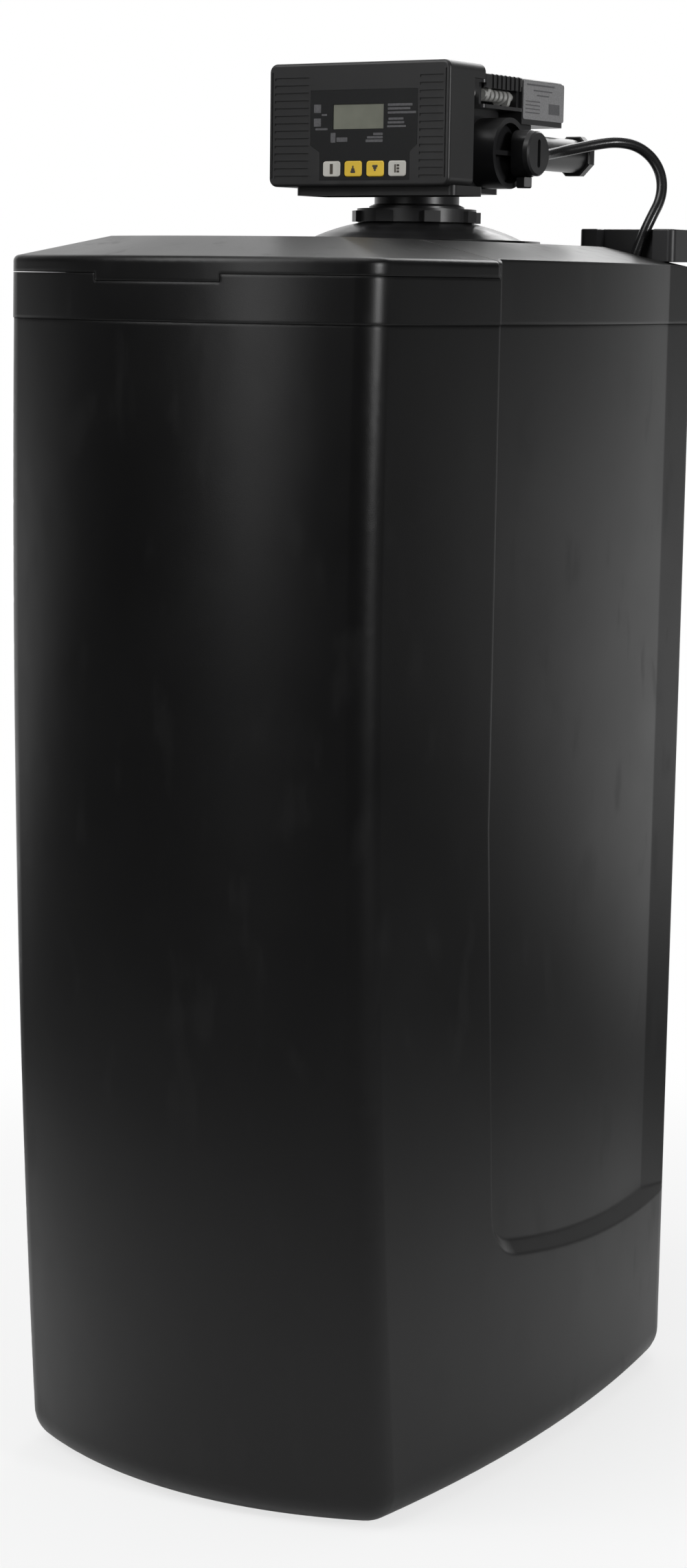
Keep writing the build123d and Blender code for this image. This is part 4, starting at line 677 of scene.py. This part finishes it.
class Bench:
    """Modelling by operators, as by hand."""

    CORNER_SEGMENTS = 4
    PARALLEL = 0.99

    @staticmethod
    def clear() -> None:
        """Leaves object mode with nothing selected."""
        if bpy.context.object is not None and bpy.context.object.mode != "OBJECT":
            bpy.ops.object.mode_set(mode="OBJECT")
        bpy.ops.object.select_all(action="DESELECT")

    @staticmethod
    def pick(*objects: bpy.types.Object) -> None:
        """Selects only these objects.

        Args:
            objects: The objects, of which the last becomes active.
        """
        Bench.clear()
        for piece in objects:
            piece.select_set(True)
        bpy.context.view_layer.objects.active = objects[-1]

    @staticmethod
    def bar(low: Point, high: Point, corner: float, edge_axis: int = 1) -> bpy.types.Object:
        """A thin bar with rounded corners.

        Args:
            low: Its lowest corner in metres.
            high: Its highest corner in metres.
            corner: Radius of the corners that run along edge_axis.
            edge_axis: The axis of the rounded corners.

        Returns:
            The bar, with its place in its mesh.
        """
        Bench.clear()
        middle = (Vector(low) + Vector(high)) / 2
        bpy.ops.mesh.primitive_cube_add(size=1.0, location=middle)
        piece = bpy.context.object
        piece.scale = Vector(high) - Vector(low)
        bpy.ops.object.transform_apply(location=True, rotation=True, scale=True)
        Bench.choose_edges(piece, edge_axis)
        bpy.ops.mesh.bevel(offset=corner, segments=Bench.CORNER_SEGMENTS, affect="EDGES")
        bpy.ops.object.mode_set(mode="OBJECT")
        return piece

    @staticmethod
    def choose_edges(piece: bpy.types.Object, axis: int) -> None:
        """Goes into edit mode with only the edges along one axis selected.

        Args:
            piece: The piece to edit.
            axis: The axis, from 0 to 2.
        """
        Bench.pick(piece)
        bpy.ops.object.mode_set(mode="EDIT")
        bpy.ops.mesh.select_mode(type="EDGE")
        bpy.ops.mesh.select_all(action="DESELECT")
        bpy.ops.object.mode_set(mode="OBJECT")
        mesh = piece.data
        for edge in mesh.edges:
            run = mesh.vertices[edge.vertices[1]].co - mesh.vertices[edge.vertices[0]].co
            edge.select = abs(run[axis]) > Bench.PARALLEL * run.length
        bpy.ops.object.mode_set(mode="EDIT")

    @staticmethod
    def joined(name: str, pieces: Sequence[bpy.types.Object]) -> bpy.types.Object:
        """Joins pieces into one object.

        Args:
            name: The object's new name.
            pieces: What is joined.

        Returns:
            The joined object.
        """
        Bench.pick(*pieces)
        if len(pieces) > 1:
            bpy.ops.object.join()
        piece = bpy.context.object
        piece.name = name
        piece.data.name = name
        return piece


def settle(
    piece: bpy.types.Object, body: str, material: bpy.types.Material, replaces: Iterable[str] = ()
) -> None:
    """Dresses a new piece and ties it to the frame.

    Args:
        piece: The finished piece.
        body: The CAD body that it rides on.
        material: Its material.
        replaces: The CAD nodes that it stands for.
    """
    piece.data.materials.clear()
    piece.data.materials.append(material)
    for node in replaces:
        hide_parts(node)
    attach(piece, body)
    LOG.info("piece %s rides on %s", piece.name, body)


def dress(material: bpy.types.Material, *names: str) -> None:
    """Gives CAD nodes their material.

    Args:
        material: The material.
        names: The nodes.
    """
    for name in names:
        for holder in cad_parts[name].material_slots:
            holder.material = material
        LOG.info("node %s wears %s", name, material.name)


@dataclass(frozen=True)
class SoftBox:
    """A soft box: where it hangs, the point it faces, its width and height in metres and its watts."""

    name: str
    place: Point
    aim: Point
    size: tuple[float, float]
    watts: float

    def hang(self) -> None:
        """Adds the lamp to the scene."""
        data = bpy.data.lights.new(self.name, "AREA")
        data.shape = "RECTANGLE"
        data.size, data.size_y = self.size
        data.energy = self.watts
        lamp = bpy.data.objects.new(self.name, data)
        bpy.context.scene.collection.objects.link(lamp)
        lamp.location = self.place
        lamp.rotation_mode = "QUATERNION"
        lamp.rotation_quaternion = (Vector(self.aim) - Vector(self.place)).to_track_quat("-Z", "Y")


@dataclass
class Studio:
    """Camera, soft boxes, floor and world."""

    place: Point = (1.34617, -2.15781, 0.98615)
    azimuth: float = 32.24
    pitch: float = 9.512
    roll: float = 0.828
    lens: float = 68.27
    sensor: float = 36.0
    sight: float = 200.0
    floor_size: float = 40.0
    floor_drop: float = 0.0005
    floor_dark: Colour = (0.1, 0.1, 0.1)
    floor_white: Colour = (0.82, 0.82, 0.82)
    floor_roughness: float = 0.9
    floor_glow: float = 0.72
    floor_fade: Band = (0.4, 1.25)
    # Reach of the painted pool of light round the object.
    painted_light_pool: Band = (0.45, 1.5)
    floor_sweep: Band = (0.8, 2.2)
    # Glow of the painted pool of light, seen in reflections.
    painted_pool_glow: float = 0.12
    sweep_mirrored: float = 0.9
    backdrop: Point = (-0.53, 0.848, 0.0)
    backdrop_edge: Band = (0.5, 0.9)
    room: float = 0.35
    room_mirrored: float = 0.03
    soft_boxes: tuple[SoftBox, ...] = (
        SoftBox("back", place=(-0.6, 2.4, 2.6), aim=(0.0, 0.1, 0.7), size=(1.6, 1.6), watts=26.0),
        SoftBox("fill", place=(-1.0, -2.2, 3.0), aim=(0.0, 0.0, 0.6), size=(2.0, 2.0), watts=55.0),
        SoftBox("front", place=(-0.2, -2.7, 1.3), aim=(0.0, 0.0, 0.9), size=(0.7, 1.3), watts=8.0),
        SoftBox("corner", place=(2.9, -0.42, 1.45), aim=(0.1, -0.2, 0.95), size=(0.5, 0.6), watts=34.0),
        SoftBox("overhead", place=(0.0, 0.0, 3.4), aim=(0.0, 0.0, 0.8), size=(2.0, 2.0), watts=18.0),
    )

    def build(self) -> None:
        """Makes the whole studio."""
        self.camera()
        self.world()
        self.floor()
        for soft_box in self.soft_boxes:
            soft_box.hang()

    def camera(self) -> None:
        """Adds the camera that took the photograph's view."""
        data = bpy.data.cameras.new("camera")
        data.lens = self.lens
        data.sensor_width = self.sensor
        data.clip_end = self.sight
        camera = bpy.data.objects.new("camera", data)
        bpy.context.scene.collection.objects.link(camera)
        turn = (
            Matrix.Rotation(math.radians(self.azimuth), 3, "Z")
            @ Matrix.Rotation(math.radians(90.0 - self.pitch), 3, "X")
            @ Matrix.Rotation(math.radians(self.roll), 3, "Z")
        )
        camera.location = self.place
        camera.rotation_mode = "QUATERNION"
        camera.rotation_quaternion = turn.to_quaternion()
        bpy.context.scene.camera = camera

    def world(self) -> None:
        """Sets the white backdrop behind the object and the dimmer room in front of it."""
        world = bpy.data.worlds.new("studio")
        bpy.context.scene.world = world
        sky = Nodes(world)
        rays = sky.rays()
        place = sky.node("ShaderNodeTexCoord", {}, {}).outputs["Generated"]
        ahead = sky.node("ShaderNodeVectorMath", {"operation": "DOT_PRODUCT"}, {0: place, 1: self.backdrop})
        white = Signal(sky, ahead.outputs["Value"]).between(*self.backdrop_edge)
        mirrored = rays["Glossy"] * (white * (1.0 - self.room_mirrored) + (self.room_mirrored - self.room))
        level = (rays["Camera"] + rays["Transmission"]) * (1.0 - self.room) + mirrored + self.room
        light = sky.node("ShaderNodeBackground", {}, {"Color": (*WHITE, 1.0), "Strength": level})
        sky.node("ShaderNodeOutputWorld", {}, {"Surface": light.outputs[0]})

    def floor(self) -> None:
        """Adds the white floor, which keeps the object's shadow and fades into the backdrop, with a painted
        pool of light round the object: white paint there and a glow in reflections.
        """
        Bench.clear()
        bpy.ops.mesh.primitive_plane_add(size=self.floor_size, location=(0.0, 0.0, -self.floor_drop))
        floor = bpy.context.object
        floor.name = "floor"
        shader = Shader("studio_floor")
        rays = shader.rays()
        x, y, _ = shader.axes()
        away = (x * x + y * y) ** 0.5
        # Painted pool of light: 1 round the object, falling to 0 further out.
        pool = 1.0 - away.between(*self.painted_light_pool)
        sweep = (x * self.backdrop[0] + y * self.backdrop[1]).between(*self.floor_sweep)
        seen = rays["Camera"] * (away.between(*self.floor_fade) * (1.0 - self.floor_glow) + self.floor_glow)
        # In reflections the floor glows: a painted pool of light round the object, and brightly towards the
        # backdrop.
        mirrored = rays["Glossy"] * (pool * self.painted_pool_glow).most(sweep * self.sweep_mirrored)
        glow = shader.node("ShaderNodeEmission", {}, {"Color": (*WHITE, 1.0), "Strength": 1.0})
        # Painted light: the floor is white round the object and towards the backdrop, dark further out.
        paint = shader.mix(pool.most(sweep), self.floor_dark, self.floor_white)
        shader.set(Base_Color=paint, Roughness=self.floor_roughness, Specular_IOR_Level=0.0)
        layers = {0: seen + mirrored, 1: shader.surface.outputs[0], 2: glow.outputs[0]}
        mixed = shader.node("ShaderNodeMixShader", {}, layers)
        shader.feed(shader.output, "Surface", mixed.outputs[0])
        floor.data.materials.append(shader.material)


@dataclass
class Cabinet:
    """Salt cabinet with its cover, lid, grid, overflow and hinge."""

    shell: Moulded = Moulded(
        "cabinet_satin", (0.0045, 0.0045, 0.0047), 0.34, Grain.SATIN,
        wave=0.0004, dust=0.02, rubbed=0.4, specular=0.32, rim=0.0045,
    )
    cover: Moulded = Moulded(
        "cover_satin", (0.005, 0.005, 0.0052), 0.32, Grain.SATIN,
        wave=0.0002, dust=0.03, rubbed=0.4, specular=0.36, rim=0.0035,
    )
    inside: Moulded = Moulded("grid_black", (0.02, 0.02, 0.02), 0.55, Grain.PEBBLED)
    fitting: Moulded = Moulded("fitting_black", (0.02, 0.02, 0.02), 0.4, Grain.FINE)
    pin: Metal = Metal("pin_steel", (0.6, 0.6, 0.61), 0.3, Spread.ALONG_X)

    def build(self) -> None:
        """Dresses the cabinet's nodes."""
        dress(self.shell.build(), "cabinet_shell")
        dress(self.cover.build(), "top_cover", "salt_lid")
        dress(self.inside.build(), "salt_grid")
        dress(self.fitting.build(), "overflow_elbow", "overflow_nut")
        dress(self.pin.build(), "hinge_pin")


@dataclass
class BrineSide:
    """Brine well, its cap and float, and the tube that reaches them."""

    route: tuple[Point, ...] = (
        (0.0860, 0.1505, 1.1000),
        (0.0870, 0.1700, 1.1028),
        (0.0981, 0.1926, 1.1078),
        (0.1075, 0.2082, 1.1116),
        (0.1180, 0.2238, 1.1142),
        (0.1313, 0.2365, 1.1116),
        (0.1436, 0.2449, 1.1008),
        (0.1518, 0.2472, 1.0841),
        (0.1540, 0.2419, 1.0656),
        (0.1499, 0.2319, 1.0488),
        (0.1450, 0.2253, 1.0323),
        (0.1387, 0.2238, 1.0146),
        (0.1325, 0.2266, 0.9968),
        (0.1286, 0.2315, 0.9790),
        (0.1270, 0.2345, 0.9600),
        (0.1270, 0.2345, 0.9420),
    )
    diameter: float = 0.0095
    length: float = 0.2884
    tube: Tubing = Tubing("tube_black", (0.012, 0.012, 0.0125))
    cap: Moulded = Moulded(
        "cap_satin", (0.02, 0.02, 0.021), 0.38, Grain.FINE, wave=0.0001, dust=0.05, specular=0.55
    )
    white: Moulded = Moulded("well_white", (0.72, 0.72, 0.69), 0.42, Grain.FINE, rubbed=0.2)
    float_grey: Moulded = Moulded("float_grey", (0.4, 0.4, 0.4), 0.7, Grain.PEBBLED)

    def build(self) -> None:
        """Makes the tube and dresses the nodes."""
        self.make_tube()
        dress(self.cap.build(), "brine_well_cap")
        dress(self.white.build(), "brine_well", "safety_valve", "pickup_tube", "air_check")
        dress(self.float_grey.build(), "brine_float")

    def make_tube(self) -> None:
        """Lays the brine tube on its own route."""
        data = bpy.data.curves.new("brine_line", "CURVE")
        data.dimensions = "3D"
        spline = data.splines.new("NURBS")
        spline.points.add(len(self.route) - 1)
        for knot, place in zip(spline.points, self.route):
            knot.co = (*place, 1.0)
        spline.order_u = 3
        spline.use_endpoint_u = True
        data.bevel_depth = self.diameter / 2
        data.bevel_resolution = 8
        data.resolution_u = 12
        data.use_fill_caps = True
        tube = bpy.data.objects.new("brine_line", data)
        bpy.context.scene.collection.objects.link(tube)
        settle(tube, "base", self.tube.build(), ["brine_tube"])


@dataclass
class Vessel:
    """Resin vessel with its boot, bed and inner pipes."""

    wound: WoundVessel = WoundVessel("vessel_wound", (0.014, 0.014, 0.0145), (0.0, 0.0815, 0.0))
    boot: Moulded = Moulded("boot_rubber", (0.018, 0.018, 0.018), 0.7, Grain.PEBBLED)
    beads: Beads = Beads("resin_beads", (0.36, 0.17, 0.05), 1300.0)
    pipe: Moulded = Moulded("riser_white", (0.62, 0.62, 0.6), 0.4, Grain.FINE, rubbed=0.2)
    basket: Moulded = Moulded("basket_grey", (0.16, 0.16, 0.17), 0.45, Grain.FINE)

    def build(self) -> None:
        """Dresses the vessel's nodes."""
        dress(self.wound.build(), "resin_vessel")
        dress(self.boot.build(), "vessel_boot")
        dress(self.beads.build(), "resin_bed")
        dress(self.pipe.build(), "riser_tube")
        dress(self.basket.build(), "lower_distributor", "upper_basket")


@dataclass(frozen=True)
class PlateBar:
    """A printed bar on the data plate, in millimetres from the plate's lower front corner."""

    start: float
    end: float
    foot: float
    tall: float

    def repeated(self, count: int, gap: float) -> tuple["PlateBar", ...]:
        """This bar and its copies below it, their feet one gap apart."""
        return tuple(replace(self, foot=self.foot - gap * row) for row in range(count))


@dataclass
class Valve:
    """Control valve, its fittings, camshaft and flappers, and the box behind them."""

    body: Moulded = Moulded(
        "valve_filled", (0.018, 0.018, 0.019), 0.34, Grain.FINE, wave=0.0001, dust=0.05, rubbed=0.7
    )
    plates: Moulded = Moulded("valve_plates", (0.024, 0.024, 0.025), 0.36, Grain.FINE, dust=0.08, rubbed=0.8)
    nuts: Moulded = Moulded("nut_filled", (0.018, 0.018, 0.0185), 0.3, Grain.FINE, dust=0.05, rubbed=0.6)
    acetal: Moulded = Moulded("cam_acetal", (0.5, 0.5, 0.48), 0.32, Grain.POLISHED)
    gears: Moulded = Moulded("gear_acetal", (0.66, 0.66, 0.63), 0.3, Grain.POLISHED)
    levers: Moulded = Moulded("flapper_black", (0.03, 0.03, 0.03), 0.4, Grain.FINE)
    box: Moulded = Moulded("box_satin", (0.026, 0.026, 0.027), 0.4, Grain.FINE, wave=0.0001, dust=0.08)
    screws: Metal = Metal("screw_steel", (0.62, 0.62, 0.63), 0.26, Spread.ALONG_X)
    motor: Metal = Metal("motor_zinc", (0.55, 0.56, 0.57), 0.34, Spread.ALONG_Y)
    plate: PrintedInk = PrintedInk("plate_grey", (0.27, 0.27, 0.275), 0.4)
    ink: PrintedInk = PrintedInk("plate_ink", (0.12, 0.12, 0.125), 0.5)
    flappers: int = 7
    plate_low: Point = (60.0, 157.3, 1131.5)
    plate_high: Point = (60.35, 231.3, 1164.2)
    plate_corner: float = 2.2
    print_height: float = 0.06
    print_corner: float = 0.3
    plate_bars: tuple[PlateBar, ...] = (
        PlateBar(start=6.0, end=56.0, foot=29.0, tall=1.4),
        PlateBar(start=18.0, end=52.0, foot=24.5, tall=1.2),
        PlateBar(start=24.0, end=46.0, foot=20.5, tall=1.2),
        *PlateBar(start=4.0, end=30.0, foot=15.0, tall=1.0).repeated(count=4, gap=3.2),
        PlateBar(start=46.0, end=66.0, foot=6.0, tall=9.0),
    )

    def build(self) -> None:
        """Dresses the valve and adds its plain plate."""
        dress(
            self.body.build(),
            "valve_body",
            "injector_boss",
            "drain_plug",
            "pipe_adaptor_left",
            "pipe_adaptor_right",
            "drain_fitting",
            "brine_fitting",
            "brine_nut",
        )
        dress(self.plates.build(), "tank_ring", "valve_top_plate", "cam_cover", "filter_cap")
        dress(self.nuts.build(), "union_nut_left", "union_nut_right")
        dress(self.acetal.build(), "camshaft")
        dress(self.gears.build(), "drive_gear", "motor_pinion")
        dress(self.levers.build(), *(f"flapper_{number}" for number in range(1, self.flappers + 1)))
        dress(self.box.build(), "rear_box")
        dress(self.screws.build(), "cover_screws", "flapper_rod")
        dress(self.motor.build(), "drive_motor")
        self.make_plate()

    def make_plate(self) -> None:
        """Adds the bare data plate with plain bars on the box's right side."""
        low = tuple(v * MM for v in self.plate_low)
        high = tuple(v * MM for v in self.plate_high)
        plate = Bench.bar(low, high, self.plate_corner * MM, edge_axis=0)
        settle(Bench.joined("data_plate", [plate]), "base", self.plate.build())
        bars = [self.plate_print(bar) for bar in self.plate_bars]
        settle(Bench.joined("data_plate_bars", bars), "base", self.ink.build())

    def plate_print(self, bar: PlateBar) -> bpy.types.Object:
        """One printed bar on the data plate.

        Args:
            bar: Its edges on the plate.

        Returns:
            The bar.
        """
        face = self.plate_high[0]
        _, y, z = self.plate_low
        return Bench.bar(
            (face * MM, (y + bar.start) * MM, (z + bar.foot) * MM),
            ((face + self.print_height) * MM, (y + bar.end) * MM, (z + bar.foot + bar.tall) * MM),
            self.print_corner * MM,
            edge_axis=0,
        )


@dataclass
class Head:
    """Electronic head: housing, ribbed bezel, overlay, display, keys and board.

    Each legend has its left, right, lower and upper edge in millimetres, and each mark's bars have
    theirs from the middle of their key.
    """

    housing: Moulded = Moulded(
        "head_satin", (0.016, 0.016, 0.0165), 0.42, Grain.FINE, wave=0.0002, dust=0.04, rubbed=0.4
    )
    overlay: PrintedInk = PrintedInk("panel_overlay", (0.0075, 0.008, 0.0085), 0.42)
    window: LiquidCrystal = LiquidCrystal("display_window", (0.155, 0.16, 0.13), (0.0005, 0.0, 1.125))
    board: Board = Board("board_mask", (0.02, 0.13, 0.05))
    white_key: Moulded = Moulded("key_white", (0.5, 0.49, 0.45), 0.4, Grain.FINE, rubbed=0.4)
    yellow_key: Moulded = Moulded("key_yellow", (0.75, 0.5, 0.04), 0.4, Grain.FINE, rubbed=0.3)
    legend: PrintedInk = PrintedInk("legend_grey", (0.1, 0.1, 0.105), 0.5)
    mark: PrintedInk = PrintedInk("mark_dark", (0.06, 0.05, 0.04), 0.5)
    key_centres: tuple[float, ...] = (-25.0, -3.7, 17.9, 39.2)
    key_middle: float = 1082.4
    print_height: float = 0.08
    print_corner: float = 0.35
    legends: tuple[Edges, ...] = (
        (-43.2, -36.2, 1128.6, 1135.4),
        (-35.4, -30.2, 1126.0, 1127.6),
        (-43.2, -36.2, 1117.4, 1124.0),
        (-41.5, -29.4, 1114.4, 1116.0),
        (29.4, 53.0, 1133.0, 1135.0),
        (29.4, 51.0, 1130.0, 1131.8),
        (29.4, 56.5, 1126.8, 1128.6),
        (30.2, 44.6, 1121.8, 1123.6),
        (29.4, 45.4, 1118.8, 1120.6),
        (29.0, 47.0, 1115.8, 1117.4),
        (-26.3, -21.6, 1104.0, 1112.0),
        (-20.4, -9.8, 1104.6, 1108.2),
        (8.2, 24.8, 1104.0, 1106.2),
        (9.6, 24.8, 1107.0, 1108.8),
        (15.6, 24.8, 1109.6, 1111.6),
    )
    marks: tuple[tuple[Edges, ...], ...] = (
        ((-1.5, 1.5, -4.2, 4.2),),
        ((-0.7, 0.7, 0.2, 2.6), (-1.6, 1.6, -1.6, 0.4), (-2.3, 2.3, -3.4, -1.4)),
        ((-2.6, 2.6, 1.2, 3.0), (-1.6, 1.6, -0.4, 1.4), (-0.8, 0.8, -2.0, -0.2)),
        ((-2.4, -0.9, -3.4, 3.4), (-0.3, 2.4, 1.6, 3.4), (-0.3, 2.4, -0.9, 0.9), (-0.3, 2.4, -3.4, -1.6)),
    )

    def build(self) -> None:
        """Dresses the head and adds its prints."""
        dress(self.housing.build(), "control_housing", "control_bezel")
        dress(self.overlay.build(), "display_panel")
        dress(self.window.build(), "display_screen")
        dress(self.board.build(), "circuit_board")
        dress(self.white_key.build(), "key_1", "key_4")
        dress(self.yellow_key.build(), "key_2", "key_3")
        self.make_legends()
        self.make_marks()

    def flat_bar(self, left: float, right: float, low: float, high: float, front: float) -> bpy.types.Object:
        """One printed bar on a face that looks towards the front, in millimetres.

        Args:
            left: Its left edge.
            right: Its right edge.
            low: Its lower edge.
            high: Its upper edge.
            front: The face's place along Y.

        Returns:
            The bar.
        """
        return Bench.bar(
            (left * MM, (front - self.print_height) * MM, low * MM),
            (right * MM, front * MM, high * MM),
            self.print_corner * MM,
        )

    def make_legends(self) -> None:
        """Prints plain bars where the overlay has its legends."""
        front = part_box("display_panel")[0].y / MM
        bars = [self.flat_bar(*edges, front) for edges in self.legends]
        settle(Bench.joined("panel_legends", bars), "base", self.legend.build())

    def make_marks(self) -> None:
        """Prints one plain mark on each key."""
        ink = self.mark.build()
        z = self.key_middle
        for number, (x, mark) in enumerate(zip(self.key_centres, self.marks), 1):
            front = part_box(f"key_{number}")[0].y / MM
            bars = [self.flat_bar(x + a, x + b, z + low, z + high, front) for a, b, low, high in mark]
            settle(Bench.joined(f"key_mark_{number}", bars), f"key_{number}", ink)


def main() -> None:
    """Builds the studio and dresses the softener, piece by piece."""
    logging.basicConfig(level=logging.INFO)
    bpy.context.scene.view_settings.view_transform = "Standard"
    for part in (Studio(), BrineSide(), Cabinet(), Vessel(), Valve(), Head()):
        LOG.info("building %s", type(part).__name__)
        part.build()


if __name__ == "__main__":
    main()
